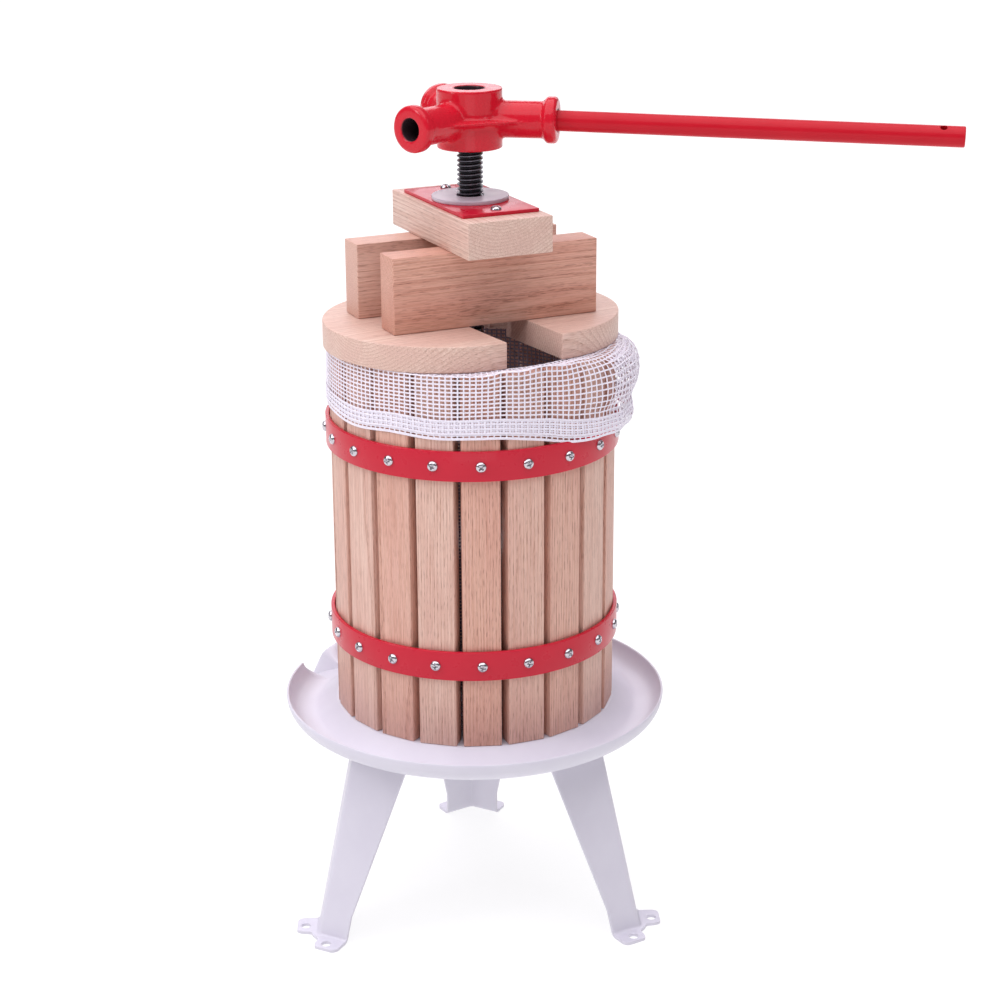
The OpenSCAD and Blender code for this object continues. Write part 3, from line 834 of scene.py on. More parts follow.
@dataclass
class PressingBoards:
    """Two half discs on the rim, two blocks on edge across them, and the pressure board with its plate and
    washer."""

    oak: bpy.types.Material
    red: bpy.types.Material
    chrome: bpy.types.Material
    nylon: bpy.types.Material
    disc_radius: float = 118.5
    disc_low: float = 605.5
    disc_thickness: float = 25.0
    disc_gap: float = 60.0
    disc_notch: float = 16.0
    disc_turn: float = 28.5
    block: tuple[float, float, float] = (213.0, 32.0, 73.0)
    block_low: float = 630.8
    block_pitch: float = 74.0
    block_stagger: float = 7.0
    stack_turn: float = 22.5
    board: tuple[float, float, float] = (87.0, 184.0, 35.0)
    board_low: float = 704.1
    hole_d: float = 30.0
    plate: tuple[float, float, float] = (79.0, 143.0, 3.5)
    screw_pitch: float = 118.0
    washer_d: float = 74.5
    washer_sheet: float = 4.0
    washer_bore: float = 26.2

    def turned(self, x: float, y: float, degrees: float) -> Callable[[Array], Array]:
        """A function that moves points by (x, y) and then turns them about the spindle."""
        return lambda points: turn_about_z(points + np.array([x, y, 0.0]), degrees)

    def disc(self, word: str, body: Body, turn: float, sawn: Sawn) -> None:
        """Builds a half disc: half a circle, its straight edge broken by the spindle's half-round notch.

        Args:
            word: Name of the side.
            body: Body that it rides on.
            turn: Direction of the round side in degrees.
            sawn: How it lies in its log.
        """
        eased = 1.8
        edge = math.degrees(math.asin(eased / self.disc_radius))
        outer = arc((0, 0), self.disc_radius, -90 + edge, 90 - edge, 96)
        notch = arc((0, 0), self.disc_notch, 90, -90, 20)
        upper = arc((eased, self.disc_radius - eased), eased, 90, 180, 3)[1:]
        lower = arc((eased, -self.disc_radius + eased), eased, 180, 270, 3)[:-1]
        form = Shell()
        outline = np.concatenate([outer, upper, notch, lower])
        form.prism(outline, self.disc_low, self.disc_low + self.disc_thickness, 0.9,
                   self.turned(self.disc_gap / 2, 0, turn))
        made = form.build(f"oak_half_disc_{word}", sharp=50)
        dress(sawn.mark(made), body, Slot.OAK, self.oak, f"press_disc_{word}")

    def cross_block(self, word: str, body: Body, side: float, sawn: Sawn) -> None:
        """Builds a cross block, a plank on edge.

        Args:
            word: Name of the side.
            body: Body that it rides on.
            side: -1 for the front and 1 for the rear.
            sawn: How it lies in its log.
        """
        form = Shell()
        length, thick, tall = self.block
        place = self.turned(-side * self.block_stagger / 2, side * self.block_pitch / 2, self.stack_turn)
        form.prism(rounded_box(length, thick, 1.5), self.block_low, self.block_low + tall, 1.0, place)
        made = form.build(f"oak_block_{word}", sharp=50)
        dress(sawn.mark(made), body, Slot.OAK, self.oak, f"press_block_{word}")

    def pierced(self, name: str, size: tuple[float, float, float], low: float, corner: float, ease: float,
                bores: list[tuple[float, float]]) -> bpy.types.Object:
        """A turned slab with upright bores.

        Args:
            name: Name of the piece.
            size: Width, length and height.
            low: Height of its lower face.
            corner: Radius of its upright edges.
            ease: Radius of its level edges.
            bores: Diameter and distance along the length of each bore.

        Returns:
            The slab.
        """
        form, holes = Shell(), Shell()
        width, length, tall = size
        place = self.turned(0, 0, self.stack_turn)
        form.prism(rounded_box(width, length, corner), low, low + tall, ease, place)
        made = form.build(name, sharp=50)
        past = 5.0
        for d, along in bores:
            ring = arc((0, along), d / 2, 0, 360, 48)[:-1]
            holes.prism(ring, low - past, low + tall + past, 0.01, place)
        drill(made, holes, 50)
        return made

    def pressure_stack(self) -> None:
        """Builds the pressure board, its red plate, the plate's screws and the nylon washer."""
        pilot = PanScrew().shank_d + 0.1
        reach = self.screw_pitch / 2
        made = self.pierced("oak_pressure_board", self.board, self.board_low, 1.2, 1.0, [(self.hole_d, 0.0)])
        sawn = Sawn((0, 0, self.board_low + 17), self.stack_turn + 90, False, (-8, -62), 900, 0.0)
        dress(sawn.mark(made), Body.BOARD, Slot.OAK, self.oak, "pressure_board")
        top = self.board_low + self.board[2]
        made = self.pierced("red_pressure_plate", self.plate, top, 1.5, 0.5,
                            [(self.hole_d, 0.0), (pilot, -reach), (pilot, reach)])
        dress(made, Body.BOARD, Slot.RED_ENAMEL, self.red, "pressure_plate")
        form = Shell()
        for side, turn in ((-1, 20), (1, 65)):
            spot = np.array([0, side * reach, top + self.plate[2]])
            form.grid(turn_about_z(PanScrew().points(turn) + spot, self.stack_turn), around=True)
        dress(form.build("plate_screw_pair", sharp=35), Body.BOARD, Slot.ZINC, self.chrome, "plate_screws")
        band = rounded_box((self.washer_d - self.washer_bore) / 2, self.washer_sheet, 0.7, 3)
        level = top + self.plate[2] + self.washer_sheet / 2
        form = Shell()
        middle = (self.washer_d + self.washer_bore) / 4
        form.revolve(band + np.array([middle, level]), as_is, 128, closed=True)
        made = form.build("nylon_thrust_washer", sharp=50)
        dress(made, Body.BOARD, Slot.NYLON, self.nylon, "thrust_washer")

    def build(self) -> None:
        """Builds the boards from the rim up."""
        t = self.disc_turn
        self.disc("left", Body.DISC_LEFT, t + 180, Sawn((-60, -30, 618), t, False, (35, -58), 300, 0.02))
        self.disc("right", Body.DISC_RIGHT, t, Sawn((60, 30, 618), t, False, (-20, -47), 1500, 0.0))
        s = self.stack_turn
        self.cross_block("front", Body.BLOCK_FRONT, -1, Sawn((14, -34, 667), s, False, (95, 20), 2400, 0.46))
        self.cross_block("rear", Body.BLOCK_REAR, 1, Sawn((-14, 34, 667), s, False, (60, -34), 3100, 0.22))
        self.pressure_stack()


@dataclass
class Stand:
    """The drip tray on three legs, with the spindle, its clamp and the legs' bolts."""

    white: bpy.types.Material
    zinc: bpy.types.Material
    black: bpy.types.Material
    rim_radius: float = 193.5
    rim_z: float = 234.6
    sheet: float = 2.5
    gutter_radius: float = 19.5
    seat_z: float = 230.6
    seat_radius: float = 141.6
    hole_radius: float = 12.75
    gutter_slope: float = 32.7
    spout_turn: float = 149.0
    spout_root: tuple[float, float] = (178.0, 216.2)
    spout_fall: float = 32.0
    spout_length: float = 44.6
    spout_half: float = 20.5
    spout_flare: float = 13.0
    spout_corner: float = 9.5
    spout_side: float = 20.0
    spout_curve: float = 30.0
    spout_slope: float = 35.0
    leg_turns: tuple[float, ...] = (90.0, 210.0, 330.0)
    leg_foot: float = 191.5
    leg_lean: float = 13.5
    leg_angle: float = 30.0
    leg_sheet: float = 3.0
    leg_bend: float = 7.0
    leg_foot_width: float = 33.0
    leg_top_width: float = 69.0
    leg_parallel: float = 28.0
    tab_fillet: float = 3.0
    foot_hole: tuple[float, float, float] = (10.0, 12.5, 18.0)
    spindle_r: float = 12.5
    spindle_low: float = 202.1
    spindle_high: float = 831.1
    thread_low: float = 511.6
    pitch: float = 4.5
    thread_depth: float = 2.0
    clamp_nut: tuple[float, float, float] = (38.0, 25.1, 16.0)
    clamp_washer: tuple[float, float, float] = (12.75, 26.0, 4.0)
    leg_nut: tuple[float, float, float] = (13.0, 8.1, 6.5)

    def tray_profile(self) -> Array:
        """Upper face of the tray from the spindle hole to the rim: level seat, a cone, and the gutter's
        arc."""
        middle = self.rim_radius - self.sheet - self.gutter_radius
        seat = np.stack([np.linspace(self.hole_radius, self.seat_radius - 3, 8), np.full(8, self.seat_z)], -1)
        curve = arc((middle, self.rim_z), self.gutter_radius, -90 - self.gutter_slope, 0, 28)
        edge = np.array([self.seat_radius, self.seat_z])
        bend = np.stack([edge * (1 - s) ** 2 + edge * 2 * s * (1 - s) + s * s * curve[0]
                         for s in np.linspace(0.05, 0.9, 5)])
        return np.concatenate([seat, bend, curve])

    def on_spout(self, along: Array, over: Array, aside: Array) -> Array:
        """Takes places along the spout's sloping floor, over it and aside of its middle to points of the
        spout's axes: out from the spindle, aside and up."""
        fall = math.radians(self.spout_fall)
        out, up = self.spout_root
        return np.stack([out + along * math.cos(fall) + over * math.sin(fall), aside + 0 * along,
                         up - along * math.sin(fall) + over * math.cos(fall)], -1)

    def spout_edge(self, share: Array) -> Array:
        """Upper edge of a spout's side: level over the floor, then a curve and a slope down to the tip.

        Args:
            share: Places on the edge, from 0 at the rim to 1 at the tip.

        Returns:
            Distances along the floor and over it, shape (places, 2).
        """
        slope = math.radians(self.spout_slope)
        fall = self.spout_side - self.spout_curve * (1 - math.cos(slope))
        start = self.spout_length - fall / math.tan(slope) - self.spout_curve * math.sin(slope)
        middle = (start, self.spout_side - self.spout_curve)
        turn = arc(middle, self.spout_curve, 90, 90 - self.spout_slope, 12)
        line = np.concatenate([[[1.0, self.spout_side]], turn, [[self.spout_length, 0.0]]])
        way = np.concatenate([[0], np.cumsum(np.linalg.norm(np.diff(line, axis=0), axis=1))])
        return np.stack([np.interp(share, way / way[-1], line[:, k]) for k in (0, 1)], -1)

    def tray_top(self) -> Array:
        """Upper face of the tray: the profile goes round the spindle, and at the spout each column's curve
        from the gutter's foot to the rim is drawn over to one that ends on the spout's edge.

        Returns:
            Points of shape (profile, round, 3), with the spout over +X.
        """
        plain = self.tray_profile()
        floor, wall, calm = 5.5, 7.6, 24.0
        half = np.concatenate([np.linspace(0, floor, 13)[1:], np.linspace(floor, wall, 33)[1:],
                               np.linspace(wall, calm, 17)[1:], np.linspace(calm, 180, 76)[1:-1]])
        column = np.concatenate([[0.0], half, [180.0], -half[::-1]])
        foot = int(np.argmax(plain[:, 0] > 165.0))
        rise = np.clip((np.arange(len(plain)) - foot) / (len(plain) - 1 - foot), 0, 1)
        spread = np.sign(column) * np.interp(np.abs(column), [0, wall, calm], [0, 3.0, 0])
        a = np.radians(column + rise[:, None] * spread)
        r, z = plain[:, :1], plain[:, 1:]
        top = np.stack([r * np.cos(a), r * np.sin(a), z + 0 * a], -1)
        share = np.clip((wall - np.abs(column)) / (wall - floor), 0, 1)
        along, over = self.spout_edge(share).T
        side = np.clip(column / floor, -1, 1) * self.spout_half
        corner = self.spout_corner * (1 - np.clip(share / 0.4, 0, 1)) ** 2
        lean = np.sign(column) * (over * math.tan(math.radians(self.spout_flare)) + corner)
        near = np.clip(share / 0.2, 0, 1)
        near = (near * near * (3 - 2 * near))[:, None]
        rim_end, rim_knee = top[-1], top[-1] - np.array([0, 0, self.gutter_radius])
        end = rim_end + near * (self.on_spout(along, over, side + lean) - rim_end)
        knee = rim_knee + near * (self.on_spout(0 * along + 4.0, 0 * along + 1.8, 0.95 * side) - rim_knee)
        s = rise[foot:, None, None]
        top[foot:] += 2 * s * (1 - s) * (knee - rim_knee) + s * s * (end - rim_end)
        return top

    def tray(self) -> None:
        """Builds the tray: its lower face lies one sheet under the upper one along the normal, and its edge
        is round."""
        top = turn_about_z(self.tray_top(), self.spout_turn)
        along = np.gradient(top, axis=0)
        round_ = np.roll(top, -1, 1) - np.roll(top, 1, 1)
        normal = np.cross(round_, along)
        normal /= np.linalg.norm(normal, axis=-1, keepdims=True)
        normal *= np.sign(normal[:1, :, 2:3])
        under = top - self.sheet * normal
        lip = [(top[-1] + under[-1]) / 2 + (top[-1] - under[-1]) / 2 * math.cos(t)
               + along[-1] / np.linalg.norm(along[-1], axis=-1, keepdims=True) * self.sheet / 2 * math.sin(t)
               for t in np.linspace(0, math.pi, 6)[1:-1]]
        form = Shell()
        form.grid(np.concatenate([top, np.stack(lip), under[::-1]]), around=True, closed=True)
        made = form.build("white_drip_tray", sharp=50)
        dress(made, Body.FRAME, Slot.WHITE_COAT, self.white, "drip_tray")

    def leg_columns(self, z: Array) -> Array:
        """Sideways places across a leg at each height: the bend's columns are fixed, and the flanges' ones
        spread evenly to the edge.

        Args:
            z: Heights, shape (rows,).

        Returns:
            Array of shape (rows, columns).
        """
        slope = math.cos(math.radians(self.leg_angle))
        bend = self.leg_bend * math.sin(math.radians(self.leg_angle))
        rise = np.clip((z - self.leg_parallel) / (self.seat_z - self.sheet - self.leg_parallel), 0, 1)
        edge = slope * (self.leg_foot_width + (self.leg_top_width - self.leg_foot_width) * rise)
        flange = bend + (edge[:, None] - bend) * np.linspace(0, 1, 25)[1:] ** 1.5
        middle = np.broadcast_to(np.linspace(-bend, bend, 9), (len(z), 9))
        return np.concatenate([-flange[:, ::-1], middle, flange], 1)

    def leg_face(self, y: Array, z: Array) -> Array:
        """Outer face of a leg that leans over +X: two flanges that fall back by |y| tan(angle) and meet in
        an arc.

        Args:
            y: Sideways places.
            z: Heights.

        Returns:
            Points in the leg's own axes.
        """
        angle, lean = math.radians(self.leg_angle), math.radians(self.leg_lean)
        bend = self.leg_bend * math.sin(angle)
        round_ = np.sqrt(np.maximum(self.leg_bend ** 2 - y ** 2, 0)) - self.leg_bend / math.cos(angle)
        back = np.where(np.abs(y) > bend, -np.abs(y) * math.tan(angle), round_)
        t = (z - math.sin(lean) * back) / math.cos(lean)
        return np.stack([self.leg_foot + math.cos(lean) * back - math.sin(lean) * t, y, z + 0 * y], -1)

    def foot_reach(self, along: Array) -> Array:
        """How far the foot plate stands out at each distance from the bend: two tabs with a round notch
        between."""
        places = [0, 3, 4.5, 5.3, 6, 7, 8.5, 10.5, 27.5, 30, 32, 33]
        reach = [5.8, 6.2, 7.4, 10.5, 15.0, 18.6, 20.9, 22.0, 22.0, 21.2, 19.2, 16.5]
        return np.interp(along, places, reach)

    def leg(self, turn: float, word: str) -> None:
        """Builds a leg from one bent sheet: the outer faces run down to a fillet and out into the foot's
        tabs.

        Args:
            turn: Direction of the leg in degrees.
            word: End of its name.
        """
        level = self.leg_sheet
        z = np.concatenate([np.linspace(self.seat_z - self.sheet - 0.05, 40, 16), [34, 28, 20, 12]])
        z = np.concatenate([z, [level + self.tab_fillet]])
        y = self.leg_columns(z)
        wall = self.leg_face(y, z[:, None])
        foot = self.leg_face(y[-1], np.full(y.shape[1], level))
        side = np.clip(y[-1] / (self.leg_bend * math.sin(math.radians(self.leg_angle))), -1, 1)
        way = np.radians(self.leg_angle) * side
        out = np.stack([np.cos(way), np.sin(way), 0 * way], -1)
        bend = [wall[-1] + (foot - wall[-1]) * math.sin(t) + out * self.tab_fillet * (1 - math.cos(t))
                for t in np.linspace(0, math.pi / 2, 6)[1:]]
        along = np.abs(y[-1]) / math.cos(math.radians(self.leg_angle))
        reach = self.foot_reach(along)
        span = [foot + out * (self.tab_fillet + (reach - self.tab_fillet) * s)[:, None]
                for s in np.linspace(0, 1, 9)[1:]]
        form = Shell()
        form.grid(turn_about_z(np.concatenate([wall, np.stack(bend), np.stack(span)]), turn))
        # The sheet's back lies inwards of the outer faces
        made = form.build(f"white_leg_{word}", sharp=50)
        outward = Matrix.Rotation(math.radians(turn), 3, "Z") @ Vector((1.0, 0.0, 0.0))
        flip = made.data.polygons[0].normal.dot(outward) < 0
        thick = made.modifiers.new("sheet", "SOLIDIFY")
        thick.thickness = self.leg_sheet * MM
        thick.offset = 1.0 if flip else -1.0
        thick.use_even_offset = True
        settle(made, 50)
        holes = Shell()
        d, from_flange, from_bend = self.foot_hole
        for s in (-1, 1):
            way = s * self.leg_angle
            spot = np.array([from_flange, s * from_bend, 0])
            ring = arc((0, 0), d / 2, 0, 360, 32)[:-1]

            def place(points: Array, way: float = way, spot: Array = spot) -> Array:
                """Puts a hole's points in a foot tab."""
                moved = turn_about_z(points + spot, way) + np.array([self.leg_foot, 0, 0])
                return turn_about_z(moved, turn)

            holes.prism(ring, -6, 12, 0.01, place)
        drill(made, holes, 50)
        ease = made.modifiers.new("edges", "BEVEL")
        ease.width = 0.5 * MM
        ease.segments = 2
        ease.limit_method = "ANGLE"
        ease.angle_limit = math.radians(50)
        settle(made, 50)
        dress(made, Body.FRAME, Slot.WHITE_COAT, self.white, f"leg_{word}")

    def spindle(self) -> None:
        """Builds the spindle: the thread is a ribbon of rows that climb one pitch a turn, and its radius is
        a trapezoid of the fraction of z / pitch - angle / turn."""
        per_turn, rows = 64, 10
        turns = int((self.spindle_high - self.thread_low) / self.pitch) + 2
        a = np.linspace(0, 1, per_turn + 1)
        level = np.arange(-rows, turns * rows + 1)[:, None] / rows
        z = np.clip(self.thread_low + self.pitch * (level + a), self.thread_low, self.spindle_high)
        share = np.mod((z - self.thread_low) / self.pitch - a, 1.0)
        flank = np.clip((np.abs(share - 0.5) - 0.1) / 0.3, 0, 1)
        r = self.spindle_r - self.thread_depth * (1 - flank)
        fade = np.clip((z - self.thread_low) / self.pitch, 0, 1)
        r = self.spindle_r + (r - self.spindle_r) * fade
        r = np.minimum(r, self.spindle_r - 0.9 * np.maximum(0, z - self.spindle_high + 2.4))
        angle = 2 * math.pi * a
        form = Shell()
        form.grid(np.stack([r * np.cos(angle), r * np.sin(angle), z], -1))
        top = float(np.min(r[-1]))
        form.revolve(np.array([[0, self.spindle_high], [top, self.spindle_high]]), as_is, per_turn)
        low = np.array([[0, self.spindle_low], [self.spindle_r - 2, self.spindle_low],
                        [self.spindle_r, self.spindle_low + 2], [self.spindle_r, self.thread_low]])
        form.revolve(low, as_is, per_turn)
        made = form.build("black_spindle", weld=2e-3, sharp=45)
        dress(made, Body.FRAME, Slot.BLACK_STEEL, self.black, "spindle")

    def hex_nut(self, form: Shell, flats: float, bore: float, low: float, height: float,
                spots: list[tuple[float, float]]) -> None:
        """Adds hexagon nuts: radius to a flat = flats / 2 / cos(angle from its middle), and both faces are
        chamfered where the radius passes the flats' circle.

        Args:
            form: Shell that they are added to.
            flats: Width across the flats.
            bore: Diameter of the bore.
            low: Height of the lower face.
            height: Height of the nut.
            spots: Places of the nuts.
        """
        a = np.linspace(0, 2 * math.pi, 72, endpoint=False)
        hexagon = flats / 2 / np.cos(np.mod(a + math.pi / 6, math.pi / 3) - math.pi / 6)
        round_ = np.minimum(hexagon, flats / 2 * 0.97)
        drop = (hexagon - round_) * 0.58
        inner = np.full_like(a, bore / 2)
        sink, flat = 0.6, 0 * a
        r = np.stack([inner, inner + sink, round_, hexagon, hexagon, round_, inner + sink, inner])
        z = np.stack([flat + sink, flat, flat, drop, height - drop, flat + height, flat + height,
                      flat + height - sink])
        ring = np.stack([r * np.cos(a), r * np.sin(a), low + z], -1)
        for x, y in spots:
            form.grid(ring + np.array([x, y, 0]), around=True, closed=True)

    def fasteners(self) -> None:
        """Builds the spindle's nuts and washers, and the legs' bolts and nuts."""
        under = self.seat_z - self.sheet
        nuts, washers, bolts, leg_nuts = Shell(), Shell(), Shell(), Shell()
        flats, bore, tall = self.clamp_nut
        inner, outer, thick = self.clamp_washer
        for low in (self.seat_z + thick, under - thick - tall):
            self.hex_nut(nuts, flats, bore, low, tall, [(0, 0)])
        for low in (self.seat_z, under - thick):
            band = rounded_box(outer - inner, thick, 0.5, 2)
            washers.revolve(band + np.array([(inner + outer) / 2, low + thick / 2]), as_is, 96, closed=True)
        spots = bolt_spots("leg_bolts")
        head = np.array([[0, 4.0], [2.5, 3.75], [4.8, 2.9], [6.4, 1.4], [7.0, 0.0],
                         [4, 0], [4, -15], [3.3, -16], [0, -16]])
        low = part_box("leg_bolts")[1].z / MM - head[0, 1]
        for x, y in spots:
            bolts.revolve(head, lambda p, x=x, y=y: p + np.array([x, y, low]), 32)
        flats, bore, tall = self.leg_nut
        self.hex_nut(leg_nuts, flats, bore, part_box("leg_nuts")[0].z / MM, tall, spots)
        sets = ((nuts, "spindle_clamp_nuts", 25, "spindle_nuts"),
                (washers, "spindle_clamp_washers", 50, "spindle_washers"),
                (bolts, "leg_bolt_set", 50, "leg_bolts"),
                (leg_nuts, "leg_nut_set", 25, "leg_nuts"))
        for form, name, sharp, node in sets:
            dress(form.build(name, sharp=sharp), Body.FRAME, Slot.ZINC, self.zinc, node)

    def build(self) -> None:
        """Builds the stand from the feet up."""
        for turn, word in zip(self.leg_turns, ("rear", "front_left", "front_right")):
            self.leg(turn, word)
        self.tray()
        self.spindle()
        self.fasteners()


def bolt_spots(node: str) -> list[tuple[float, float]]:
    """Places of the separate solids of a node, as the middles of its loose parts.

    Args:
        node: Name of the node.

    Returns:
        Places in the level plane, in millimetres.
    """
    mesh = bpy.data.objects[node].data
    points = np.zeros(len(mesh.vertices) * 3, np.float32)
    mesh.vertices.foreach_get("co", points)
    flat = points.reshape(-1, 3)[:, :2] / MM
    apart = 16.0
    spots: list[Array] = []
    left = flat
    while len(left):
        close = np.linalg.norm(left - left[0], axis=1) < apart
        spots.append((left[close].min(0) + left[close].max(0)) / 2)
        left = left[~close]
    return [(float(x), float(y)) for x, y in spots]


def smooth_min(a: Array, b: Array, k: float) -> Array:
    """The lesser of two distances, with a fillet of about k where they meet: min - h^2 k / 4, with
    h = 1 - |a - b| / k."""
    h = np.maximum(k - np.abs(a - b), 0) / k
    return np.minimum(a, b) - h * h * k / 4


def rod(across: Array, along: Array, r: float, start: float, end: float, ease: float) -> Array:
    """Distance to a rod with eased ends, from the distance across its axis and the place along it.

    Args:
        across: Distance from the axis.
        along: Place along the axis.
        r: Radius.
        start: First end.
        end: Last end.
        ease: Radius of the rounding at its ends.

    Returns:
        Distances, below zero inside.
    """
    x = across - (r - ease)
    y = np.abs(along - (start + end) / 2) - ((end - start) / 2 - ease)
    return np.minimum(np.maximum(x, y), 0) + np.hypot(np.maximum(x, 0), np.maximum(y, 0)) - ease


def skin(form: Shell, field: Callable[[Array], Array], low: Array, high: Array, step: float) -> None:
    """Adds the surface where a field is zero: one point for each cell that it crosses, drawn onto it by
    point - field * slope / slope^2 four times, and one quad for each edge between inside and outside.

    Args:
        form: Shell that it is added to.
        field: Distance at points (..., 3), below zero inside.
        low: Lowest corner.
        high: Highest corner.
        step: Size of the cells.
    """
    axes = [np.arange(a, b + step, step) for a, b in zip(low, high)]
    corner = np.stack(np.meshgrid(*axes, indexing="ij"), -1)
    inside = field(corner) < 0
    cells = [size - 1 for size in inside.shape]
    total = sum(inside[i:cells[0] + i, j:cells[1] + j, k:cells[2] + k].astype(int)
                for i in (0, 1) for j in (0, 1) for k in (0, 1))
    crossed = (total > 0) & (total < 8)
    number = np.full(crossed.shape, -1)
    number[crossed] = np.arange(crossed.sum())
    points = corner[:-1, :-1, :-1][crossed] + step / 2
    nudge = 0.15 * np.eye(3)
    for _ in range(4):
        slope = np.stack([field(points + e) - field(points - e) for e in nudge], -1) / 0.3
        move = field(points)[:, None] * slope / np.maximum(np.sum(slope ** 2, -1, keepdims=True), 0.25)
        points = points - np.clip(move, -step, step)
    faces = []
    for axis in range(3):
        u, v = (axis + 1) % 3, (axis + 2) % 3
        a = np.moveaxis(inside, axis, 0)
        flip = np.moveaxis(a[:-1] != a[1:], 0, axis)
        spot = np.argwhere(flip)
        spot = spot[(spot[:, u] > 0) & (spot[:, v] > 0)]
        du, dv = np.eye(3, dtype=int)[u], np.eye(3, dtype=int)[v]
        ring = [spot - du - dv, spot - dv, spot, spot - du]
        faces.append(np.stack([number[tuple(c.T)] for c in ring], -1))
    form.faces += (np.concatenate(faces) + form.count).tolist()
    form.points.append(points)
    form.count += len(points)


@dataclass
class Drive:
    """The cast three-socket hub with its bush, and the bar in one socket."""

    cast_red: bpy.types.Material
    bar_red: bpy.types.Material
    level: float = 819.4
    low: float = -27.3
    high: float = 29.1
    boss_r: float = 31.25
    arm_r: float = 17.5
    reach: float = 84.6
    collar_r: float = 22.0
    collar_width: float = 11.5
    socket_r: float = 10.3
    socket_floor: float = 36.6
    web_edge: float = 42.0
    eye_r: float = 14.5
    bush_r: float = 20.3
    bush_top: float = 3.3
    turns: tuple[float, ...] = (-12.0, 108.0, 228.0)
    bar_r: float = 9.75
    bar_start: float = 36.9
    bar_end: float = 462.0
    bar_droop: float = 1.0
    bar_eye: tuple[float, float, float] = (7.0, 442.0, 25.0)

    def cast(self, p: Array) -> Array:
        """Distance to the casting: boss, arms and collars with fillets between, a web that thins to a ridge
        from arm to arm, a low parting line at mid-height, and the bores taken out.

        Args:
            p: Points (..., 3) about the arms' crossing.

        Returns:
            Distances, below zero inside.
        """
        x, y, z = p[..., 0], p[..., 1], p[..., 2]
        across = np.hypot(x, y)
        form = rod(across, z, self.boss_r, self.low, self.high, 1.3)
        web = np.abs(z) - 4.0
        tips = np.full_like(x, 1e3)
        arms = np.full_like(x, 1e3)
        furthest = np.full_like(x, -1e3)
        for turn in self.turns:
            c, s = math.cos(math.radians(turn)), math.sin(math.radians(turn))
            u, v = c * x + s * y, c * y - s * x
            off = np.hypot(v, z)
            arms = np.minimum(arms, rod(off, u, self.arm_r, 0, self.reach - 2, 1.0))
            collar = self.reach - self.collar_width
            tips = np.minimum(tips, rod(off, u, self.collar_r, collar, self.reach, 3.5))
            furthest = np.maximum(furthest, u)
            # The web's edge faces away from the arms, half way between them
            web = np.maximum(web, -u - self.web_edge)
        web = web + 0.16 * np.maximum(across - 22, 0)
        body = smooth_min(smooth_min(form, arms, 4.5), web, 5)
        body = smooth_min(body, tips, 4.5)
        # The parting line ends short of the collars and of the boss
        shown = np.clip((66 - furthest) / 10, 0, 1) * np.clip((across - 30) / 6, 0, 1)
        seam = np.exp(-(z / 1.1) ** 2) * shown
        body = body - 0.75 * seam
        return -smooth_min(-body, self.bores(p), 2.2)

    def bores(self, p: Array) -> Array:
        """Distance to the eye, the bush's seat and the three sockets at points about the arms' crossing."""
        across = np.hypot(p[..., 0], p[..., 1])
        space = np.minimum(rod(across, p[..., 2], self.eye_r, 0, self.high + 20, 0.5),
                           rod(across, p[..., 2], self.bush_r, self.low - 20, self.bush_top, 0.5))
        for turn in self.turns:
            spun = turn_about_z(p, -turn)
            off = np.hypot(spun[..., 1], spun[..., 2])
            socket = rod(off, spun[..., 0], self.socket_r, self.socket_floor, self.reach + 20, 0.5)
            space = np.minimum(space, socket)
        return space

    def hub(self) -> None:
        """Builds the hub from its distance field."""
        form = Shell()
        side = self.reach + self.collar_r / 2
        margin = 2.6
        lowest = np.array([-side, -side, self.low - margin])
        highest = np.array([side, side, self.high + margin])
        skin(form, self.cast, lowest, highest, 1.05)
        form.points[-1] = form.points[-1] + np.array([0, 0, self.level])
        made = form.build("red_cast_hub", sharp=60)
        points = np.zeros(len(made.data.vertices) * 3, np.float32)
        made.data.vertices.foreach_get("co", points)
        # Points in and just outside the bores are marked, so that the enamel turns dark there.
        depth = self.bores(points.reshape(-1, 3) / MM - np.array([0, 0, self.level]))
        bare = np.clip(1.6 - depth / 0.6, 0, 1).astype(np.float32)
        made.data.attributes.new("bare", "FLOAT", "POINT").data.foreach_set("value", bare)
        dress(made, Body.HUB, Slot.RED_ENAMEL, self.cast_red, "hub")

    def on_bar(self, points: Array) -> Array:
        """Takes points along, aside of and over the bar's axis to the press; the bar droops about its
        socket's middle."""
        pivot = (self.socket_floor + self.reach) / 2
        droop = math.radians(self.bar_droop)
        along, aside, over = points[..., 0] - pivot, points[..., 1], points[..., 2]
        laid = np.stack([pivot + along * math.cos(droop) + over * math.sin(droop), aside,
                         self.level - along * math.sin(droop) + over * math.cos(droop)], -1)
        return turn_about_z(laid, self.turns[0])

    def bar(self) -> None:
        """Builds the bar: a round rod with eased ends and an eye near its free end, turned about the bar."""
        r, a, b = self.bar_r, self.bar_start, self.bar_end
        near, far = 1.0, 1.2
        side = np.stack([np.full(30, r), np.linspace(a + 2, b - 2, 30)], -1)
        profile = np.concatenate([[[0, a]], arc((r - near, a + near), near, -90, 0, 3), side,
                                  arc((r - far, b - far), far, 0, 90, 3), [[0, b]]])
        form, holes = Shell(), Shell()
        form.revolve(profile, lambda points: self.on_bar(points[..., [2, 0, 1]]), 48)
        made = form.build("red_handle_bar", sharp=45)
        d, along, turn = self.bar_eye
        spin = np.array(Matrix.Rotation(math.radians(turn), 3, "X"))
        holes.prism(arc((along, 0), d / 2, 0, 360, 32)[:-1], -20, 20, 0.01,
                    lambda points: self.on_bar(points @ spin.T))
        drill(made, holes, 45)
        dress(made, Body.BAR, Slot.RED_ENAMEL, self.bar_red, "handle_bar")

    def build(self) -> None:
        """Builds the hub and the bar."""
        self.hub()
        self.bar()


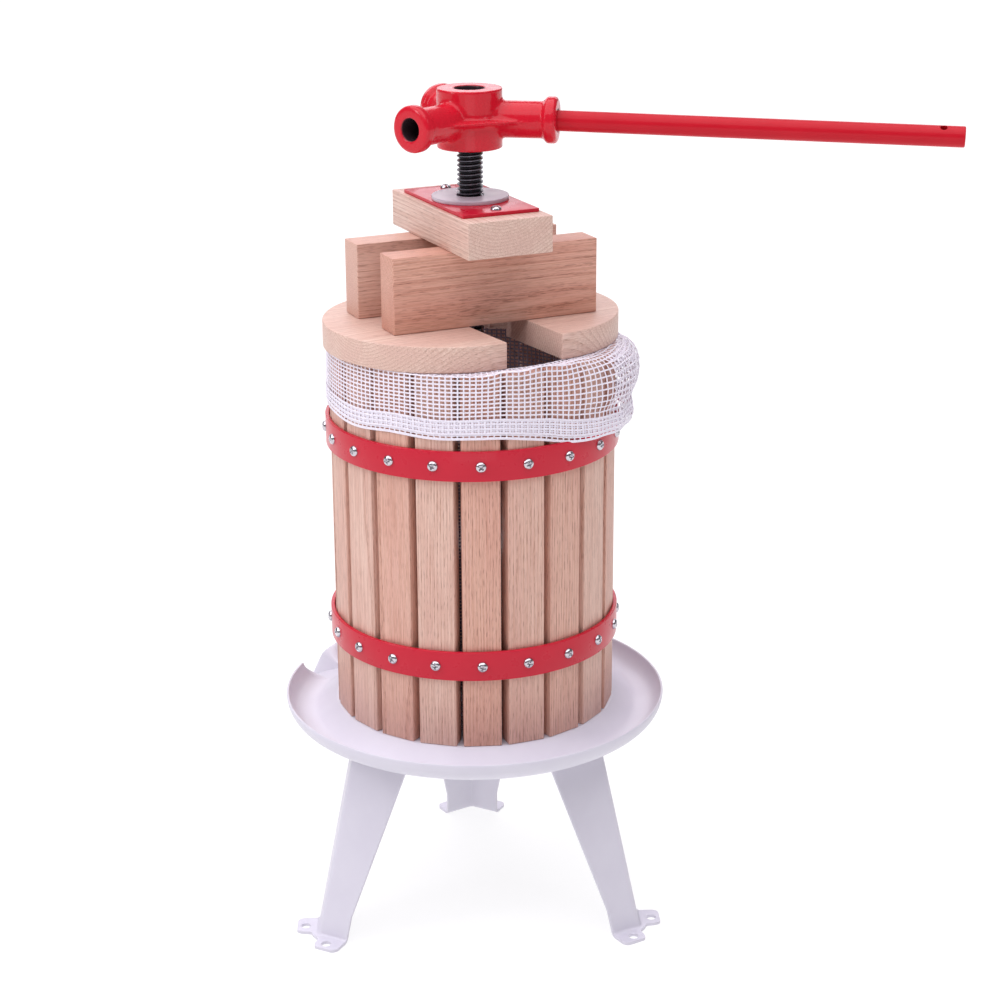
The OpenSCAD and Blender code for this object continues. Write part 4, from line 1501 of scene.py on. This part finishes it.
@dataclass
class NetBag:
    """The white net bag: it lines the basket, goes over the rim and hangs down outside with a doubled hem."""

    yarn: bpy.types.Material
    # The same white yarn made darker: painted shade for the lining.
    shaded_yarn: bpy.types.Material
    strands: int = 156
    pitch: float = 3.75
    lining_r: float = 120.6
    fold_r: float = 142.2
    rim_z: float = 604.65
    floor_z: float = 238.2
    eye_r: float = 33.0
    fold: float = 60.5
    hem: float = 19.5
    over_rim: float = 22.0
    half_wide: float = 0.78
    half_high: float = 0.42
    puff: tuple[tuple[float, float], ...] = (
        (142.2, 604.5), (146, 604.0), (150, 603.3), (155, 601.4), (158.5, 598.0), (162, 591), (163.7, 581),
        (162.6, 566), (158.5, 557.5), (154.5, 551), (157, 543), (158.3, 536), (157, 528))

    def tubes(self, form: Shell, line: Array, normal: Array, around: bool, wide: float = 1.0) -> None:
        """Adds strands: a four-sided section, up, aside, down and aside, carried along each line.

        Args:
            form: Shell that they are added to.
            line: Middles of the strands, shape (strands, points, 3).
            normal: Direction out of the net at each point.
            around: Closes each strand on itself; otherwise its ends are capped.
            wide: Width of the strands as a share of the usual one.
        """
        step = np.roll(line, -1, 1) - np.roll(line, 1, 1) if around else np.gradient(line, axis=1)
        aside = np.cross(step, normal)
        aside /= np.maximum(np.linalg.norm(aside, axis=-1, keepdims=True), 1e-9)
        up, side = normal * self.half_high, aside * self.half_wide * wide
        ring = np.stack([line + up, line + side, line - up, line - side], 2)
        count, length = line.shape[:2]
        index = form.count + np.arange(count * length * 4).reshape(count, length, 4)
        ahead = np.roll(index, -1, 1) if around else index[:, 1:]
        here = index if around else index[:, :-1]
        quads = np.stack([here, np.roll(here, -1, 2), np.roll(ahead, -1, 2), ahead], -1)
        form.faces += quads.reshape(-1, 4).tolist()
        if not around:
            form.faces += index[:, 0, ::-1].tolist() + index[:, -1].tolist()
        form.points.append(ring.reshape(-1, 3))
        form.count += count * length * 4

    def drape(self, a: Array, s: Array) -> Array:
        """Place of the fold at azimuth a, in degrees, and distance s down from the rim's outer edge, below
        zero on top of the staves: it hangs close to the staves with soft ripples, lifts where nothing
        presses it, and puffs out on the right, where it is slack, along a section of two lobes.

        Args:
            a: Azimuths, shape (strands, 1).
            s: Distances, shape (1, rows).

        Returns:
            Points, shape (strands, rows, 3).
        """
        def hill(middle: float, width: float) -> Array:
            """A bell over the azimuth."""
            return np.exp(-((np.mod(a - middle + 180, 360) - 180) / width) ** 2)

        def step(value: Array, start: float, end: float) -> Array:
            """A soft step from 0 to 1."""
            t = np.clip((value - start) / (end - start), 0, 1)
            return t * t * (3 - 2 * t)

        around = np.mod(a + 180, 360) - 180
        slack = step(around, -62, -22) * step(-around, -26, 2)
        lower = 13.5 * step(around, -84, -48) * step(-around, -60, -20)
        down = np.maximum(s, 0.0)
        wave = np.sin(np.radians(7 * a) + 0.6) + 0.7 * np.sin(np.radians(11 * a) + 2.1 + down / 40)
        r = self.fold_r + np.minimum(s, 0) + (0.7 + 0.45 * wave) * step(down, 2, 30)
        lift = 3.2 * hill(-79, 5) + 5.5 * hill(-64, 9) + 3.0 * hill(-46, 8) + 2.5 * hill(118, 10)
        lift = lift * np.exp(-(np.minimum(s, 0) / 9) ** 2) * np.exp(-(down / 16))
        z = self.rim_z - down * (1 + lower / self.fold) + lift - 0.8 * wave * step(down, 10, 45)
        path = np.array(self.puff)
        length = np.concatenate([[0], np.cumsum(np.linalg.norm(np.diff(path, axis=0), axis=1))])
        body = self.fold - self.hem
        run = np.where(down < body, down * (length[-1] - self.hem) / body, length[-1] - self.fold + down)
        near = [np.clip(run + d, 0, None) for d in (-5.0, -2.5, 0.0, 2.5, 5.0)]
        out = sum(np.interp(u, length, path[:, 0]) for u in near) / len(near)
        high = sum(np.interp(u, length, path[:, 1]) for u in near) / len(near)
        high = high - np.maximum(run - length[-1], 0)
        out = out + 1.1 * np.sin(np.radians(23 * a) + run / 14) * step(run, 6, 25)
        r = np.where(s < 0, r, r + slack * (out - r))
        z = np.where(s < 0, z, z + slack * (high - z))
        turn = np.radians(a + (0.35 * wave + 0.5 * np.sin(np.radians(5 * a))) * down / 60)
        return np.stack([r * np.cos(turn), r * np.sin(turn), z], -1)

    def facing(self, net: Array, around: bool = True) -> Array:
        """Directions out of a net of points, closed along its first axis or open."""
        across = np.roll(net, -1, 0) - np.roll(net, 1, 0) if around else np.gradient(net, axis=0)
        normal = np.cross(np.gradient(net, axis=1), across)
        return normal / np.maximum(np.linalg.norm(normal, axis=-1, keepdims=True), 1e-9)

    def woven(self, form: Shell, net: Array, weave: float, wide: float = 1.0, around: bool = True) -> None:
        """Adds the strands of a net that pass over and under each other by the weave's depth.

        Args:
            form: Shell that they are added to.
            net: Crossings, shape (strands, rows, 3).
            weave: Depth of the weave.
            wide: Width of the strands as a share of the usual one.
            around: The net is closed along its first axis.
        """
        normal = self.facing(net, around)
        k, j = np.indices(net.shape[:2])
        bob = (weave * np.where((k + j) % 2, 1.0, -1.0))[..., None] * normal
        self.tubes(form, net + bob, normal, False, wide)
        self.tubes(form, np.swapaxes(net - bob, 0, 1), np.swapaxes(normal, 0, 1), around, wide)

    def azimuths(self, shift: float) -> Array:
        """Azimuths of the strands in degrees, moved by a share of their spacing."""
        return ((np.arange(self.strands) + shift) * 360 / self.strands)[:, None]

    def outer(self) -> bpy.types.Object:
        """Builds the fold over the rim, its hem, whose second layer lies half a mesh aside, and the second
        layer that is gathered behind the slack part.
        """
        top = np.linspace(self.lining_r - self.fold_r, 0, 6)
        body = np.arange(self.pitch, self.fold - self.hem, self.pitch)
        edge = self.fold + np.array([-17.2, -12.9, -8.6, -4.6])
        form = Shell()
        self.woven(form, self.drape(self.azimuths(0), np.concatenate([top, body, edge])[None, :]), 0.22)
        second = self.drape(self.azimuths(0.5), self.fold + np.array([[-19.0, -15.1, -10.8, -6.5]]))
        self.woven(form, second + 0.8 * self.facing(second), 0.2, 1.35)
        # The bottom edge is one broad ring, with open meshes above it
        rim = self.drape(self.azimuths(0), self.fold + np.array([[-4.6, -1.2, 0.0]]))
        normal = self.facing(rim)
        self.tubes(form, rim[:, :2], normal[:, :2], False)
        self.tubes(form, np.swapaxes(rim, 0, 1)[1:2], np.swapaxes(normal, 0, 1)[1:2], True, 1.65)
        behind = np.arange(self.pitch / 2, self.fold - 7, self.pitch)[None, :]
        gathered = self.drape(np.arange(-32, 24, 360 / self.strands)[:, None] + 180 / self.strands, behind)
        gathered = gathered - 2.6 * self.facing(gathered, False)
        self.woven(form, gathered, 0.2, 1.2, False)
        made = form.build("net_bag_fold", sharp=80)
        dress(made, Body.BASKET, Slot.NET, self.yarn, "filter_bag")
        return made

    def lining(self) -> bpy.types.Object:
        """Builds the lining: down inside the staves with a soft sag, and in over the tray's seat to the
        spindle."""
        depth = self.rim_z - self.floor_z
        count = int(depth / self.pitch)
        t = np.linspace(0, 1, count)[None, :]
        a = self.azimuths(0)
        sag = 0.9 + 0.9 * np.sin(np.radians(9 * a) + 5 * t) * np.sin(math.pi * t)
        r = self.lining_r - sag * np.sin(math.pi * t) ** 0.5
        z = self.rim_z - self.pitch - (depth - self.pitch) * t
        rings = 20
        inward = np.linspace(self.lining_r - self.pitch, self.eye_r, rings)[None, :]
        r = np.concatenate([r, np.broadcast_to(inward, (self.strands, rings))], 1)
        level = np.full((self.strands, rings), self.floor_z)
        z = np.concatenate([np.broadcast_to(z, (self.strands, count)), level], 1)
        turn = np.radians(a)
        net = np.stack([r * np.cos(turn), r * np.sin(turn), z], -1)
        normal = self.facing(net)
        form = Shell()
        coarse = np.r_[0:count:2, count - 1:count + rings:2]
        self.tubes(form, net[:, coarse], normal[:, coarse], False)
        self.tubes(form, np.swapaxes(net, 0, 1)[:, ::2], np.swapaxes(normal, 0, 1)[:, ::2], True)
        made = form.build("net_bag_lining", sharp=80)
        # The lining takes the darker yarn: painted shade for the inside of the basket.
        dress(made, Body.BASKET, Slot.NET, self.shaded_yarn, "filter_bag")
        return made

    def build(self) -> None:
        """Builds the bag."""
        self.outer()
        self.lining()


@dataclass
class Studio:
    """A pale lit sweep, soft light from above and the camera of a product photograph."""

    place: tuple[float, float, float] = (-0.05604, -2.12936, 1.1641)
    yaw: float = 2.233
    pitch: float = 18.86
    roll: float = -0.307
    lens: float = 80.73
    sensor: float = 36.0
    sky: float = 0.16
    sun: float = 3.2
    floor_glow: float = 0.8
    back_glow: float = 50.0
    floor_half: float = 14.0
    sweep_r: float = 13.0
    sweep_rise: float = 12.0

    def camera(self) -> None:
        """Sets the camera: turned to the right by the yaw, down by the pitch and about its view by the
        roll."""
        data = bpy.data.cameras.new("camera")
        data.lens = self.lens
        data.sensor_width = self.sensor
        data.clip_end = 60.0
        made = bpy.data.objects.new("camera", data)
        bpy.context.scene.collection.objects.link(made)
        made.matrix_world = (
            Matrix.Translation(self.place) @ Matrix.Rotation(math.radians(-self.yaw), 4, "Z")
            @ Matrix.Rotation(math.radians(90 - self.pitch), 4, "X")
            @ Matrix.Rotation(math.radians(self.roll), 4, "Z"))
        bpy.context.scene.camera = made

    def floor(self) -> None:
        """Lays the floor: a plain pale sheet that is lit a little from below, as a photographer's light
        table."""
        mesh = bpy.data.meshes.new("floor")
        s = self.floor_half
        mesh.from_pydata([(-s, -s, 0), (s, -s, 0), (s, s, 0), (-s, s, 0)], [], [(0, 1, 2, 3)])
        made = bpy.data.objects.new("floor", mesh)
        bpy.context.scene.collection.objects.link(made)
        finish, _, _ = Finish("light_table").start({
            "Base Color": linear("#8A898A"), "Roughness": 0.9, "Specular IOR Level": 0.1,
            "Emission Color": (1.0, 1.0, 1.0, 1.0), "Emission Strength": self.floor_glow})
        mesh.materials.append(finish)

    def backdrop(self) -> None:
        """Hangs a pale sheet round the floor, a circle of the given radius: it is only seen, and lights
        nothing."""
        steps = 96
        a = np.linspace(0.0, 2 * math.pi, steps, endpoint=False)
        ring = np.stack([self.sweep_r * np.cos(a), self.sweep_r * np.sin(a), np.full(steps, -0.1)], axis=-1)
        points = np.concatenate([ring, ring + (0.0, 0.0, self.sweep_rise)])
        this = np.arange(steps)
        after = np.roll(this, -1)
        faces = np.stack([this, after, after + steps, this + steps], axis=-1)
        mesh = bpy.data.meshes.new("backdrop")
        mesh.from_pydata(points.tolist(), [], faces.tolist())
        made = bpy.data.objects.new("backdrop", mesh)
        bpy.context.scene.collection.objects.link(made)
        for ray in ("diffuse", "glossy", "transmission", "shadow"):
            setattr(made, f"visible_{ray}", False)
        finish, _, _ = Finish("lit_paper").start({
            "Base Color": linear("#000000"), "Roughness": 1.0, "Specular IOR Level": 0.0,
            "Emission Color": (1.0, 1.0, 1.0, 1.0), "Emission Strength": 1.0})
        mesh.materials.append(finish)

    def lamp(self, name: str, power: float, size: tuple[float, float], place: tuple[float, float, float],
             aim: tuple[float, float, float]) -> None:
        """Hangs a soft box.

        Args:
            name: Name of the lamp.
            power: Watts.
            size: Width and height in metres.
            place: Where it hangs.
            aim: What it faces.
        """
        data = bpy.data.lights.new(name, "AREA")
        data.energy = power
        data.shape = "RECTANGLE"
        data.color = (0.99, 0.94, 1.0)
        data.size, data.size_y = size
        made = bpy.data.objects.new(name, data)
        made.visible_camera = False
        bpy.context.scene.collection.objects.link(made)
        away = Matrix.Translation(place).translation - Matrix.Translation(aim).translation
        made.matrix_world = Matrix.Translation(place) @ away.to_track_quat("Z", "Y").to_matrix().to_4x4()

    def lights(self) -> None:
        """Lights the scene: a dim sky, a wide overhead glow, a bright back wall, a small lamp in the basket
        and three soft boxes."""
        world = bpy.data.worlds.new("sky")
        world.use_nodes = True
        world.node_tree.nodes.clear()
        glow = add(world.node_tree, "ShaderNodeBackground",
                   inputs={"Color": (1.0, 0.96, 1.0, 1.0), "Strength": self.sky})
        add(world.node_tree, "ShaderNodeOutputWorld", inputs={"Surface": glow.outputs[0]})
        bpy.context.scene.world = world
        data = bpy.data.lights.new("overhead", "SUN")
        data.energy = self.sun
        data.color = (0.97, 0.96, 1.0)
        data.angle = math.radians(90)
        made = bpy.data.objects.new("overhead", data)
        bpy.context.scene.collection.objects.link(made)
        made.matrix_world = (Matrix.Rotation(math.radians(-9), 4, "Y")
                             @ Matrix.Rotation(math.radians(6), 4, "X"))
        self.lamp("back_wall", self.back_glow, (5.0, 2.0), (0.0, 4.0, 2.2), (0.0, 0.0, 0.6))
        self.lamp("soft_box_left", 7.0, (0.4, 0.8), (-1.6, -0.7, 1.5), (0.0, 0.0, 0.6))
        self.lamp("basket_fill", 0.12, (0.1, 0.1), (0.0, 0.0, 0.4), (0.0, 0.0, 1.0))
        self.lamp("soft_box_right", 3.0, (0.4, 0.8), (1.5, -0.9, 1.9), (0.0, 0.0, 0.6))
        self.lamp("front_fill", 2.5, (1.5, 0.8), (0.0, -2.6, 0.35), (0.0, 0.0, 0.35))

    def build(self) -> None:
        """Sets up the camera, the floor and the light."""
        view = bpy.context.scene.view_settings
        view.view_transform = "Standard"
        view.look = "None"
        self.camera()
        self.floor()
        self.backdrop()
        self.lights()


def main() -> None:
    """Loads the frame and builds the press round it."""
    logging.basicConfig(level=logging.INFO, format="%(name)s: %(message)s")
    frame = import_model()
    Studio().build()
    oak = Oak("planed_oak").make()
    cast_red = Enamel("red_enamel_on_cast_iron", "#D81A30", "#CD152A", 7.0, 0.2, 0.24, 0.3).make()
    sheet_red = Enamel("red_enamel_on_steel", "#CE1834", "#C4122E", 12.0, 0.05, 0.3, 0.3).make()
    bar_red = Enamel("red_enamel_on_bar", "#CB1027", "#C10C22", 12.0, 0.03, 0.42, 0.1).make()
    white = PowderCoat("white_powder_coat").make()
    chrome = Metal("bright_zinc_screw", "#DEDBE0", "#B9B5BC", 0.14, 0.26).make()
    zinc = Metal("galvanised_zinc", "#C6C4C4", "#A9A6A4", 0.28, 0.42).make()
    black = ThreadDarkerInGrooves("black_oxide_thread").make()
    brass = Metal("turned_bronze", "#B4904C", "#94733A", 0.25, 0.38).make()
    Stand(white, zinc, black).build()
    Basket(oak, sheet_red, chrome).build()
    # The lining's yarn is a darker copy of the bag's white yarn: painted shade for the dim inside of the
    # basket.
    NetBag(NetYarn("net_yarn").make(), NetYarn("net_yarn_painted_shade", "#8E7F8A", "#6E5F6A", 0.0).make()).build()
    PressingBoards(oak, sheet_red, chrome, Nylon("natural_nylon").make()).build()
    Drive(cast_red, bar_red).build()
    bush = frame["nodes"]["nut_bush"]
    bush.data.materials.clear()
    bush.data.materials.append(brass)


if __name__ == "__main__":
    main()
